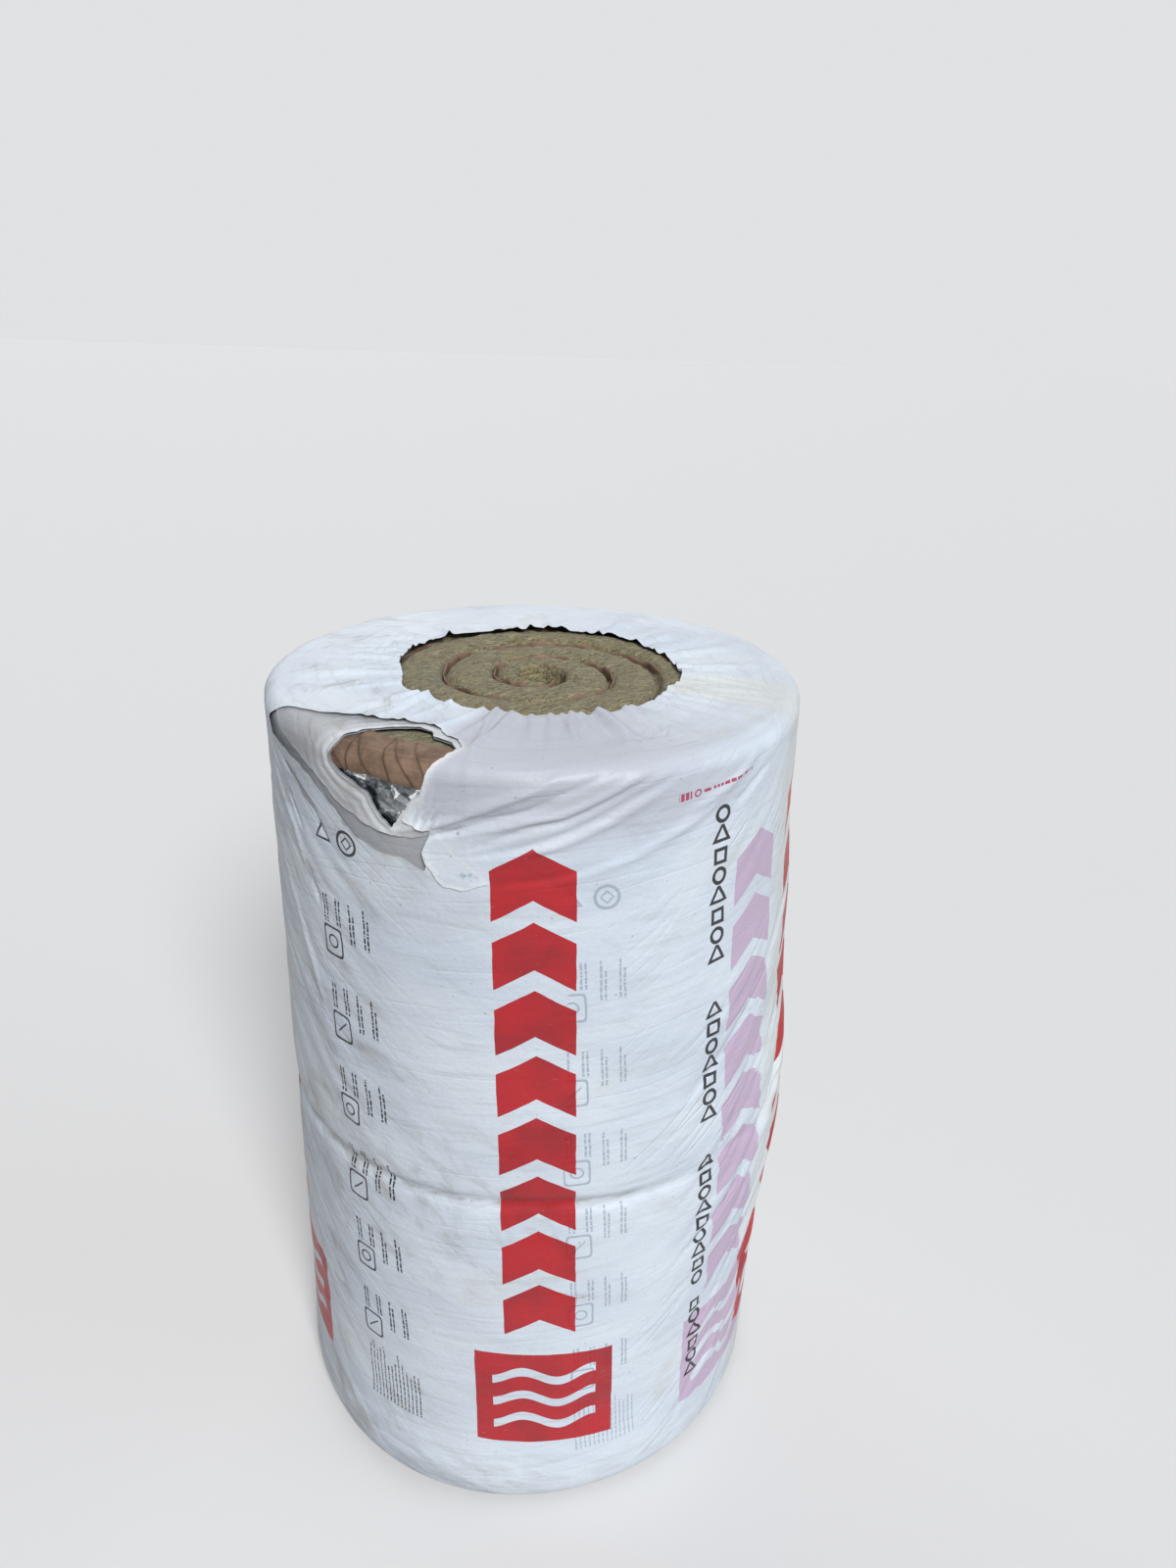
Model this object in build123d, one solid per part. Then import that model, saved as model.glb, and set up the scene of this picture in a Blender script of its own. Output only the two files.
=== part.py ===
"""Two rolls of faced stone wool standing end to end in one film bag.

The frame's origin is the middle of the base, +Z is up along the rolls' common axis and -Y is the
front of the bag. All sizes are in millimetres. Each roll is one turned solid of wool with a round
eye, and the edge of its winding shows as a spiral groove on the end that stays free. The two ends
that meet are pressed flat. Round each roll lies the foil facing, and on each rim the facing's
free edge, folded over with its paper side out. The bag holds both rolls, is drawn in at the joint
between them, laps over both ends round an open middle and is torn open at the upper left.
"""
from build123d import *
from math import cos, radians, sin, sqrt
import os

os.makedirs("parts", exist_ok=True)

# Rolls
wool_radius = 298.0
eye_radius = 30.0
turn_pitch = 57.0
half_turns = 4
lower_roll_width = 459.0
upper_roll_width = 499.0
rim_chamfer = 20.0
upper_roll_turned = 140.0

# Grooves between the turns
groove_width = 12.0
groove_depth = 14.0

# Facing and its folded edges
facing_thickness = 0.8
fold_width = 26.0
layer_gap = 0.35

# Film bag
film_thickness = 1.0
bag_slack = 1.5
bag_rim_chamfer = 18.0
end_opening_radius = 160.0
waist_depth = 6.0
waist_margin = 2.0

# Tear in the bag: its angle from the front, towards +X, and its edge along the arc and below the rim
tear_angle = -28.8
tear_edge = [(-62, 24), (-18, 31), (-3, 58), (10, 71), (25, 58), (42, 27), (58, 12)]
tear_lap = 30.0
tear_tip = 45.0

# Worked out from the sizes above
foil_inner = wool_radius + layer_gap
foil_outer = foil_inner + facing_thickness
bag_inner = foil_outer + bag_slack
bag_radius = bag_inner + film_thickness
lower_roll_base = film_thickness
joint_height = lower_roll_base + lower_roll_width
upper_roll_top = joint_height + upper_roll_width
bag_height = upper_roll_top + film_thickness
waist_half_height = rim_chamfer - waist_margin
past_face = 1.0


def turned(points):
    """Turn a closed outline of (radius, height) points about +Z."""
    outline = Polyline(*[(r, 0, z) for r, z in points], close=True)
    return revolve(make_face(outline), Axis.Z)


def groove(end_height, inward, turned_by):
    """Spiral groove in an end face: half circles about two centres, each larger than the last."""
    step = turn_pitch / 2
    slope = groove_width / 2 / groove_depth
    mouth = groove_width / 2 + slope * past_face
    cutter = Part()
    for k in range(half_turns):
        side = 1 if k % 2 == 0 else -1
        centre = side * step / 2
        radius = eye_radius + step / 2 + k * step
        x = centre + side * radius
        section = make_face(Polyline(
            (x - mouth, 0, end_height - inward * past_face),
            (x + mouth, 0, end_height - inward * past_face),
            (x, 0, end_height + inward * groove_depth),
            close=True,
        ))
        cutter += revolve(section, Axis((centre, 0, 0), (0, 0, 1)), 180)
    return Rot(0, 0, turned_by) * cutter


def wool_roll(base, width):
    """One roll of wool before its turns are cut: a turned solid with a round eye."""
    top = base + width
    return turned([
        (eye_radius, base),
        (wool_radius - rim_chamfer, base),
        (wool_radius, base + rim_chamfer),
        (wool_radius, top - rim_chamfer),
        (wool_radius - rim_chamfer, top),
        (eye_radius, top),
    ])


def foil_sleeve(base, width):
    """The outer turn of the foil facing, between the two rim chamfers."""
    low = base + rim_chamfer
    high = base + width - rim_chamfer
    return turned([(foil_inner, low), (foil_outer, low), (foil_outer, high), (foil_inner, high)])


def folded_edge(rim, inward):
    """The facing's free edge at one rim: a strip of paper folded over the wool's chamfer."""
    start = (wool_radius, rim + inward * rim_chamfer)

    def on_strip(along, out):
        return (start[0] + (out - along) / sqrt(2), start[1] - inward * (out + along) / sqrt(2))

    under = layer_gap
    over = layer_gap + facing_thickness
    return turned([
        on_strip(0, under),
        on_strip(0, over),
        on_strip(fold_width, over),
        on_strip(fold_width, under),
    ])


def bag_shell():
    """The whole bag before it is torn: walls, waist and both lapped ends."""

    def side(radius, low, high, rim):
        return [
            (end_opening_radius, low),
            (radius - rim, low),
            (radius, low + rim),
            (radius, joint_height - waist_half_height),
            (radius - waist_depth, joint_height),
            (radius, joint_height + waist_half_height),
            (radius, high - rim),
            (radius - rim, high),
            (end_opening_radius, high),
        ]

    inner_rim = bag_rim_chamfer - film_thickness * (2 - sqrt(2))
    outer = side(bag_radius, 0, bag_height, bag_rim_chamfer)
    inner = side(bag_inner, film_thickness, upper_roll_top, inner_rim)
    return turned(outer + inner[::-1])


def tear():
    """What the tear takes away: a ragged notch down the wall and its tip on the top end."""
    angle = radians(tear_angle)
    tangent = (cos(angle), sin(angle), 0)
    outward = (sin(angle), -cos(angle), 0)
    left, right = tear_edge[0][0], tear_edge[-1][0]
    past_top = bag_height + past_face
    wall = Plane(origin=(0, 0, 0), x_dir=tangent, z_dir=outward)
    edge = [(s, bag_height - drop) for s, drop in tear_edge]
    notch = make_face(Polyline((left, past_top), *edge, (right, past_top), close=True))
    lap_radius = bag_radius - tear_lap
    notch_tool = extrude(wall.offset(lap_radius) * notch, tear_lap + past_face)
    top = Plane(origin=(0, 0, upper_roll_top - past_face), x_dir=tangent, z_dir=(0, 0, 1))
    tip = make_face(Polyline(
        (left, -lap_radius - past_face),
        (left / 3, -lap_radius + tear_tip * 0.7),
        (0, -lap_radius + tear_tip),
        (right / 2, -lap_radius + tear_tip / 2),
        (right, -lap_radius - past_face),
        close=True,
    ))
    tip_tool = extrude(top * tip, film_thickness + 2 * past_face)
    return notch_tool + tip_tool


parts = {
    "lower_roll_wool": wool_roll(lower_roll_base, lower_roll_width) - groove(lower_roll_base, 1, 0),
    "lower_roll_foil": foil_sleeve(lower_roll_base, lower_roll_width),
    "lower_roll_bottom_edge": folded_edge(lower_roll_base, 1),
    "lower_roll_top_edge": folded_edge(joint_height, -1),
    "upper_roll_wool": (
        wool_roll(joint_height, upper_roll_width) - groove(upper_roll_top, -1, upper_roll_turned)
    ),
    "upper_roll_foil": foil_sleeve(joint_height, upper_roll_width),
    "upper_roll_bottom_edge": folded_edge(joint_height, 1),
    "upper_roll_top_edge": folded_edge(upper_roll_top, -1),
    "film_bag": bag_shell() - tear(),
}

for name, solid in parts.items():
    solid.label = name
    export_step(solid, f"parts/{name}.step")
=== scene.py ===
"""Looks of an insulation roll: two rolls of foil-faced stone wool, end to end in one film bag.

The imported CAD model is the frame: metres, origin in the middle of the base, +Z up along the
rolls and -Y at the bag's front. Everything on the bag is placed by two lengths measured on the
film itself: the arc s along its girth, zero at the front and growing to the right, and the
meridian m, which equals the height on the wall and runs on over both rims onto the ends.
"""

import logging
import math
from collections.abc import Callable, Sequence
from dataclasses import dataclass, field
from enum import Enum
from typing import TypeAlias

import bpy
import numpy as np
from mathutils import Matrix, Vector


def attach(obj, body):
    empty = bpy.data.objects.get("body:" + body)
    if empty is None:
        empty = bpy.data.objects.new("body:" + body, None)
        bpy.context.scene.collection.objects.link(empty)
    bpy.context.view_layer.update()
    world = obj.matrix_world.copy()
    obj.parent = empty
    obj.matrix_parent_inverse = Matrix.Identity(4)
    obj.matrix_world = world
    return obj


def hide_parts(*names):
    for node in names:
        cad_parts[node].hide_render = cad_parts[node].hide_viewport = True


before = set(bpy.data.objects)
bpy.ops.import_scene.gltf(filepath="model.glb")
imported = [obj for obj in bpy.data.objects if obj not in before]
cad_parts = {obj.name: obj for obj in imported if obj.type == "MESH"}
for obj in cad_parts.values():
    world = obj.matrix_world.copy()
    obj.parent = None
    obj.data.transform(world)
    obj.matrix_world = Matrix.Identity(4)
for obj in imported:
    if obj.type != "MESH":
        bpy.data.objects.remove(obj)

log = logging.getLogger("insulation_roll")

Array = np.ndarray
Span = tuple[float, float]
Line = Sequence[Span]
Triple = tuple[float, float, float]
Colour = Triple
Socket = bpy.types.NodeSocket
Value: TypeAlias = "Field | float"

BODY = "root"
JOINT = 0.460
FULL_TURN = 2.0 * math.pi


class Slot(Enum):
    """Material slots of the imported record."""

    WOOL = "stone_wool"
    FOIL = "foil_facing"
    KRAFT = "kraft_edge"
    FILM = "printed_film"


def ease(x: Array, low: float, high: float) -> Array:
    """Smooth step: 0 below low, 1 above high and 3t^2 - 2t^3 between them.

    Args:
        x: Values to step on.
        low: Where the step starts.
        high: Where the step ends.

    Returns:
        Array of shares from 0 to 1.
    """
    t = np.clip((x - low) / (high - low), 0.0, 1.0)
    return t * t * (3.0 - 2.0 * t)


def hump(x: Array, middle: float, reach: float) -> Array:
    """Bell of height 1: e to the power of minus the squared distance over the reach."""
    return np.exp(-(((x - middle) / reach) ** 2))


def plateau(x: Array, rise: Span, fall: Span) -> Array:
    """Share that eases in over the rise, stays at 1 and eases out over the fall."""
    return ease(x, *rise) * (1.0 - ease(x, *fall))


def fading(gap: Array, reach: float) -> Array:
    """Share that dies with the distance: e to the power of minus the distance over the reach."""
    return np.exp(-np.abs(gap) / reach)


def rowed(s: Array, m: Array) -> Array:
    """Places on the film as rows of two numbers."""
    return np.stack([s.ravel(), m.ravel()], axis=-1)


def nearest_on(points: Array, line: Line, closed: bool) -> tuple[Array, Array, Array]:
    """Nearest places on a polyline to many points of the plane.

    Each point is dropped square onto every segment, held between the segment's ends, and the
    segment that is nearest wins.

    Args:
        points: Points, N by 2.
        line: Corners of the polyline.
        closed: Whether the last corner joins the first.

    Returns:
        Distance, nearest place (N by 2), and share of the line's length at that place.
    """
    corners = np.array(line, float)
    ends = np.roll(corners, -1, axis=0) if closed else corners[1:]
    starts = corners if closed else corners[:-1]
    spans = ends - starts
    lengths = np.linalg.norm(spans, axis=1)
    along = np.cumsum(lengths) - lengths
    t = np.einsum("nsk,sk->ns", points[:, None] - starts, spans) / lengths**2
    t = np.clip(t, 0.0, 1.0)
    places = starts + t[..., None] * spans
    gaps = np.linalg.norm(points[:, None] - places, axis=2)
    best = gaps.argmin(axis=1)
    rows = np.arange(len(points))
    share = (along[best] + t[rows, best] * lengths[best]) / lengths.sum()
    return gaps[rows, best], places[rows, best], share


def inside(points: Array, outline: Line) -> Array:
    """Even-odd test: a point is inside where a level ray from it crosses the outline oddly often.

    Args:
        points: Points, N by 2.
        outline: Corners of the closed outline.

    Returns:
        Mask of the points inside.
    """
    corners = np.array(outline, float)
    after = np.roll(corners, -1, axis=0)
    x, y = points[:, :1], points[:, 1:]
    spans = (corners[:, 1] > y) != (after[:, 1] > y)
    rise = np.where(after[:, 1] == corners[:, 1], 1.0, after[:, 1] - corners[:, 1])
    crossing = corners[:, 0] + (y - corners[:, 1]) / rise * (after[:, 0] - corners[:, 0])
    return (spans & (x < crossing)).sum(axis=1) % 2 == 1


def edge_distance(points: Array, outline: Line) -> tuple[Array, Array]:
    """Signed distance to a closed outline, negative inside it, with the nearest place on it."""
    gap, place, _ = nearest_on(points, outline, closed=True)
    return np.where(inside(points, outline), -gap, gap), place


def settled(points: Array) -> Array:
    """Move points out or in from the axis, as the rolls have settled under their weight.

    The right shoulder of the upper roll is drawn in by up to four hundredths of the radius, and
    the foot of the lower one has spread by up to four hundredths at the front left. Each is a
    bell round the axis; the shoulder eases in over the height, and the foot is a bell over it.

    Args:
        points: Points with a last axis of 3.

    Returns:
        The moved points.
    """
    x, y, z = points[..., 0], points[..., 1], points[..., 2]
    angle = np.arctan2(x, -y)
    shoulder = -0.040 * ease(z, 0.66, 0.86) * hump(angle, 1.42, 0.62)
    foot = 0.040 * hump(z, 0.036, 0.048) * hump(angle, -0.42, 0.75)
    scale = 1.0 + shoulder + foot
    return np.stack([x * scale, y * scale, z], axis=-1)


@dataclass(frozen=True)
class Swell:
    """Smooth random rise and fall over the girth, from random values on a lattice.

    Between lattice points the values are blended with 6t^5 - 15t^4 + 10t^3. The lattice closes
    on itself round the girth, and its rows may climb to the right by whole lattice heights.
    """

    seed: int
    cells_round: int
    cell_height: float
    rows: int = 64
    climbs: int = 0

    def at(self, s: Array, m: Array, girth: float) -> Array:
        """Value from -1 to 1 at each place.

        Args:
            s: Arc along the girth.
            m: Meridian length.
            girth: Length all the way round, after which the pattern repeats.

        Returns:
            Array of the same shape as s.
        """
        values = np.random.default_rng(self.seed).uniform(-1.0, 1.0, (self.cells_round, self.rows))
        x = s / girth * self.cells_round
        y = m / self.cell_height - s / girth * self.climbs * self.rows
        i, j = np.floor(x), np.floor(y)
        u, v = x - i, y - j
        u = u**3 * (u * (6.0 * u - 15.0) + 10.0)
        v = v**3 * (v * (6.0 * v - 15.0) + 10.0)
        i0, j0 = i.astype(int) % self.cells_round, j.astype(int) % self.rows
        i1, j1 = (i0 + 1) % self.cells_round, (j0 + 1) % self.rows
        low = values[i0, j0] * (1.0 - u) + values[i1, j0] * u
        high = values[i0, j1] * (1.0 - u) + values[i1, j1] * u
        return low * (1.0 - v) + high * v

    def creased(self, s: Array, m: Array, girth: float) -> Array:
        """The same swell folded at zero into sharp crests: 1 less twice its size."""
        return 1.0 - 2.0 * np.abs(self.at(s, m, girth))


@dataclass(frozen=True)
class Fold:
    """One crease in the film along a line of (s, m) places.

    Its height is a bell across the line, which swells and dies with the sine of the share of
    the line's length.
    """

    line: Line
    height: float
    reach: float

    def lift(self, points: Array) -> Array:
        """Height that this fold adds at each (s, m) point.

        Args:
            points: Points, N by 2.

        Returns:
            Height at each point.
        """
        gap, _, share = nearest_on(points, self.line, closed=False)
        swell = np.sqrt(np.clip(np.sin(math.pi * np.clip(share, 0.02, 0.98)), 0.0, 1.0))
        return self.height * np.exp(-((gap / self.reach) ** 2)) * swell


def spaced(*stretches: tuple[float, float, float]) -> Array:
    """Grid places along one direction, with a step of its own for each stretch.

    Args:
        *stretches: Start, end and largest step of each stretch, one after the other.

    Returns:
        Rising array of places, with the shared ends once.
    """
    runs = [
        np.linspace(start, end, max(2, math.ceil((end - start) / step) + 1))[:-1]
        for start, end, step in stretches
    ]
    return np.concatenate([*runs, [stretches[-1][1]]])


def grid_mesh(
    name: str,
    points: Array,
    kept: Array | None = None,
    wrapped: bool = False,
    fields: dict[str, Array] | None = None,
) -> bpy.types.Object:
    """Make an object from a grid of points, rows by columns by 3.

    A face joins each point to the next column, to that one's next row and back, so that a grid
    whose columns run to the right and rows run up has its faces towards the viewer.

    Args:
        name: Name of the object and its mesh.
        points: Grid of points in metres.
        kept: Which faces stay, one fewer each way than the points, or all.
        wrapped: Whether the last column joins the first.
        fields: Named values at the points: numbers, or vectors with a last axis of 3.

    Returns:
        The new object, linked to the scene.
    """
    rows, columns = points.shape[:2]
    index = np.arange(rows * columns).reshape(rows, columns)
    beside = np.roll(index, -1, axis=1)
    quads = np.stack([index[:-1], beside[:-1], beside[1:], index[1:]], axis=-1)
    quads = quads if wrapped else quads[:, :-1]
    faces = quads.reshape(-1, 4) if kept is None else quads[kept]
    used, renumbered = np.unique(faces, return_inverse=True)
    faces = renumbered.reshape(-1, 4)
    mesh = bpy.data.meshes.new(name)
    mesh.vertices.add(len(used))
    mesh.vertices.foreach_set("co", points.reshape(-1, 3)[used].astype(np.float32).ravel())
    mesh.loops.add(faces.size)
    mesh.loops.foreach_set("vertex_index", faces.astype(np.int32).ravel())
    mesh.polygons.add(len(faces))
    mesh.polygons.foreach_set("loop_start", np.arange(0, faces.size, 4, dtype=np.int32))
    mesh.update(calc_edges=True)
    mesh.validate()
    for key, values in (fields or {}).items():
        flat = values.reshape(rows * columns, -1)[used]
        kind, slot = ("FLOAT_VECTOR", "vector") if flat.shape[1] == 3 else ("FLOAT", "value")
        layer = mesh.attributes.new(key, kind, "POINT")
        layer.data.foreach_set(slot, flat.astype(np.float32).ravel())
    mesh.shade_smooth()
    made = bpy.data.objects.new(name, mesh)
    bpy.context.scene.collection.objects.link(made)
    return made


@dataclass(frozen=True)
class Field:
    """A number that varies over a surface: the output of a shader node."""

    graph: "Graph"
    socket: Socket

    def __add__(self, other: Value) -> "Field":
        """Sum."""
        return self.graph.math("ADD", self, other)

    def __sub__(self, other: Value) -> "Field":
        """Difference."""
        return self.graph.math("SUBTRACT", self, other)

    def __mul__(self, other: Value) -> "Field":
        """Product, which also stands for both of two masks."""
        return self.graph.math("MULTIPLY", self, other)

    def __truediv__(self, other: Value) -> "Field":
        """Quotient."""
        return self.graph.math("DIVIDE", self, other)

    def __or__(self, other: Value) -> "Field":
        """Larger of the two, which stands for either of two masks."""
        return self.graph.math("MAXIMUM", self, other)

    def __abs__(self) -> "Field":
        """Size without its sign."""
        return self.graph.math("ABSOLUTE", self)

    def floor(self) -> "Field":
        """Whole number below."""
        return self.graph.math("FLOOR", self)

    def part(self) -> "Field":
        """What is left over the whole number below."""
        return self.graph.math("FRACT", self)

    def inverse(self) -> "Field":
        """One less it, which stands for the rest of a mask."""
        return self.graph.math("SUBTRACT", 1.0, self)

    def power(self, exponent: float) -> "Field":
        """Power of it."""
        return self.graph.math("POWER", self, exponent)

    def away(self, other: "Field") -> "Field":
        """Distance from the origin, where the two are the places along two axes."""
        return (self * self + other * other).power(0.5)

    def near(self, middle: Value, reach: Value) -> "Field":
        """Mask: 1 where it is within reach of the middle."""
        return self.graph.math("COMPARE", self, middle, reach)

    def between(self, low: float, high: float) -> "Field":
        """Mask: 1 from low to high."""
        return self.near((low + high) / 2, (high - low) / 2)

    def over(self, limit: Value) -> "Field":
        """Mask: 1 above the limit."""
        return self.graph.math("GREATER_THAN", self, limit)

    def eased(self, low: float, high: float, start: float = 0.0, end: float = 1.0) -> "Field":
        """Smooth step from a start value at low to an end value at high.

        Args:
            low: Where the step starts.
            high: Where it ends.
            start: Value below low.
            end: Value above high.

        Returns:
            The stepped field.
        """
        node = self.graph.node("ShaderNodeMapRange", interpolation_type="SMOOTHSTEP")
        self.graph.feed(node.inputs["Value"], self)
        names = ("From Min", "From Max", "To Min", "To Max")
        for name, value in zip(names, (low, high, start, end)):
            node.inputs[name].default_value = value
        return Field(self.graph, node.outputs["Result"])

    def faded(self, low: float, high: float) -> "Field":
        """Smooth step down: 1 below low and 0 above high."""
        return self.eased(low, high, 1.0, 0.0)


class Graph:
    """Node tree of a material or world, with a method for each kind of node in use.

    It keeps the colour and the normal that the shader gets in the end, so that a finish is laid
    on coat by coat and roughened bump by bump.
    """

    def __init__(self, owner: bpy.types.Material | bpy.types.World, colour: Colour = (0.0, 0.0, 0.0)) -> None:
        """Start on a new material's or world's tree.

        Args:
            owner: The new material or world.
            colour: Colour under all coats.
        """
        owner.use_nodes = True
        self.owner = owner
        self.tree = owner.node_tree
        self.colour: Colour | Socket = colour
        self.normal: Socket | None = None

    def node(self, kind: str, **settings: object) -> bpy.types.Node:
        """Add a node and set its properties.

        Args:
            kind: Blender's name of the type of node.
            **settings: Its properties by name.

        Returns:
            The node.
        """
        made = self.tree.nodes.new(kind)
        for key, value in settings.items():
            setattr(made, key, value)
        return made

    def feed(self, socket: Socket, value: object) -> None:
        """Link a field or socket into a socket, or set the number or colour there.

        Args:
            socket: Input to fill.
            value: Field, output, number or colour.
        """
        if isinstance(value, Field):
            value = value.socket
        if isinstance(value, Socket):
            self.tree.links.new(value, socket)
        elif isinstance(value, tuple) and len(value) == 3 and socket.type == "RGBA":
            socket.default_value = (*value, 1.0)
        else:
            socket.default_value = value

    def math(self, operation: str, *values: Value) -> Field:
        """Add a Math node.

        Args:
            operation: Blender's name of the operation.
            *values: Its fields or numbers.

        Returns:
            Field of the result.
        """
        made = self.node("ShaderNodeMath", operation=operation)
        for socket, value in zip(made.inputs, values):
            self.feed(socket, value)
        return Field(self, made.outputs[0])

    def attribute(self, name: str, output: str = "Fac") -> Field:
        """Read a named value of the mesh."""
        return Field(self, self.node("ShaderNodeAttribute", attribute_name=name).outputs[output])

    def object_place(self) -> Socket:
        """Place of a point in the object's own coordinates, in metres."""
        return self.node("ShaderNodeTexCoord").outputs["Object"]

    def background_rays(self) -> Field:
        """Mask: 1 for what the camera, a reflection or a look through something meets.

        Returns:
            Mask field.
        """
        rays = self.node("ShaderNodeLightPath").outputs
        camera, glossy, through = (
            Field(self, rays[f"Is {kind} Ray"]) for kind in ("Camera", "Glossy", "Transmission")
        )
        return camera | glossy | through

    def axes(self, place: Socket) -> tuple[Field, Field, Field]:
        """The three numbers of a vector.

        Args:
            place: Vector to take apart.

        Returns:
            Fields of its x, y and z.
        """
        made = self.node("ShaderNodeSeparateXYZ")
        self.feed(made.inputs[0], place)
        return tuple(Field(self, out) for out in made.outputs)

    def random(self, x: Value, y: Value, z: Value = 0.0) -> Field:
        """A number from 0 to 1 that jumps at each new value of the three.

        Args:
            x: First value.
            y: Second value.
            z: Third value.

        Returns:
            Field of the numbers.
        """
        vector = self.node("ShaderNodeCombineXYZ")
        for socket, value in zip(vector.inputs, (x, y, z)):
            self.feed(socket, value)
        return self.random_at(vector.outputs[0])

    def random_at(self, place: Socket) -> Field:
        """A number from 0 to 1 that jumps at each new value of the vector.

        Args:
            place: Vector of the places to read.

        Returns:
            Field of the numbers.
        """
        made = self.node("ShaderNodeTexWhiteNoise", noise_dimensions="3D")
        self.feed(made.inputs["Vector"], place)
        return Field(self, made.outputs["Value"])

    def patches(self, place: Socket, scale: float) -> Field:
        """A random number for each of many cells with straight borders.

        Args:
            place: Vector of the places to read.
            scale: Cells in a metre.

        Returns:
            Field of the numbers.
        """
        made = self.node("ShaderNodeTexVoronoi")
        self.feed(made.inputs["Vector"], place)
        made.inputs["Scale"].default_value = scale
        return self.random_at(made.outputs["Position"])

    def stretched(self, place: Socket, scale: Triple, turn: float = 0.0) -> Socket:
        """A vector turned about Z by degrees and scaled along each axis.

        Args:
            place: Vector of the places to read.
            scale: Scale along each axis.
            turn: Degrees about Z.

        Returns:
            The new vector.
        """
        made = self.node("ShaderNodeMapping", vector_type="TEXTURE")
        self.feed(made.inputs["Vector"], place)
        made.inputs["Rotation"].default_value = (0.0, 0.0, math.radians(turn))
        made.inputs["Scale"].default_value = tuple(1.0 / k for k in scale)
        return made.outputs[0]

    def noise(
        self, place: Socket, scale: float = 1.0, detail: float = 3.0, rough: float = 0.55, warp: float = 0.0,
    ) -> Field:
        """Perlin noise from 0 to 1, around a half.

        Args:
            place: Vector of the places to read.
            scale: Swells in a metre.
            detail: Octaves of the noise.
            rough: Share that each octave keeps of the last.
            warp: How far the noise bends itself.

        Returns:
            Field of the noise.
        """
        made = self.node("ShaderNodeTexNoise")
        self.feed(made.inputs["Vector"], place)
        names = ("Scale", "Detail", "Roughness", "Distortion")
        for name, value in zip(names, (scale, detail, rough, warp)):
            made.inputs[name].default_value = value
        return Field(self, made.outputs[0])

    def blend(self, share: Value, first: object, second: object) -> Socket:
        """Mix two colours by a share from 0 to 1.

        Args:
            share: Share of the second colour.
            first: Colour at 0.
            second: Colour at 1.

        Returns:
            The mixed colour.
        """
        made = self.node("ShaderNodeMix", data_type="RGBA")
        for index, value in ((0, share), (6, first), (7, second)):
            self.feed(made.inputs[index], value)
        return made.outputs[2]

    def paint(self, share: Value, colour: object) -> None:
        """Lay a coat of a colour over the coats so far, by a share from 0 to 1."""
        self.colour = self.blend(share, self.colour, colour)

    def bump(self, height: Field, depth: float) -> None:
        """Tilt the normal as if the surface rose by depth metres where the height is 1.

        Args:
            height: Field of heights.
            depth: Metres that a height of 1 stands for.
        """
        made = self.node("ShaderNodeBump")
        made.inputs["Distance"].default_value = depth
        self.feed(made.inputs["Height"], height)
        if self.normal is not None:
            self.feed(made.inputs["Normal"], self.normal)
        self.normal = made.outputs[0]

    def dress(self, roughness: Value, **fixed: float) -> bpy.types.Material:
        """Join the coats and the bumps to the shader.

        Args:
            roughness: Roughness, a field or a number.
            **fixed: Other inputs by name, with underscores for spaces.

        Returns:
            The finished material.
        """
        inputs = self.tree.nodes["Principled BSDF"].inputs
        self.feed(inputs["Base Color"], self.colour)
        self.feed(inputs["Roughness"], roughness)
        if self.normal is not None:
            self.feed(inputs["Normal"], self.normal)
        for key, value in fixed.items():
            self.feed(inputs[key.replace("_", " ")], value)
        return self.owner


class FilmGraph(Graph):
    """Node tree of a film material, which knows the places on the film."""

    def __init__(self, name: str, colour: Colour) -> None:
        """Start a film material.

        Args:
            name: The material's name.
            colour: Colour under all coats.
        """
        super().__init__(bpy.data.materials.new(name), colour)
        self.place = self.attribute("film_place", "Vector").socket
        self.s, self.m, _ = self.axes(self.place)

    def cloud(
        self, across: float, up: float, turn: float = 0.0, detail: float = 3.0, rough: float = 0.55, warp: float = 0.0,
    ) -> Field:
        """Noise on the film.

        Args:
            across: Swells in a metre along the girth.
            up: Swells in a metre up the film.
            turn: Degrees by which they are turned.
            detail: Octaves of the noise.
            rough: Share that each octave keeps of the last.
            warp: How far the noise bends itself.

        Returns:
            Noise from 0 to 1, around a half.
        """
        return self.noise(self.stretched(self.place, (across, up, 1.0), turn), 1.0, detail, rough, warp)

    def spot(self, middle: Span, half: Span, fall: float = 0.0) -> Field:
        """A soft oval spot.

        Its share goes from 1 to 0 with the sum of the squared distances along both directions,
        in half widths.

        Args:
            middle: Its middle in (s, m).
            half: Half of its width and of its height.
            fall: How far it falls to the right for each length along.

        Returns:
            Mask field.
        """
        aside = self.s - middle[0]
        above = self.m - middle[1] + aside * fall
        return ((aside / half[0]).power(2.0) + (above / half[1]).power(2.0)).faded(0.1, 1.0)


def srgb(red: int, green: int, blue: int) -> Colour:
    """Linear colour from the eight-bit numbers of a colour as it is seen on a screen.

    Args:
        red: Red from 0 to 255.
        green: Green from 0 to 255.
        blue: Blue from 0 to 255.

    Returns:
        The colour as a shader takes it.
    """
    return tuple(
        c / 12.92 if c <= 0.04045 else ((c + 0.055) / 1.055) ** 2.4
        for c in (red / 255.0, green / 255.0, blue / 255.0)
    )


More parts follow.
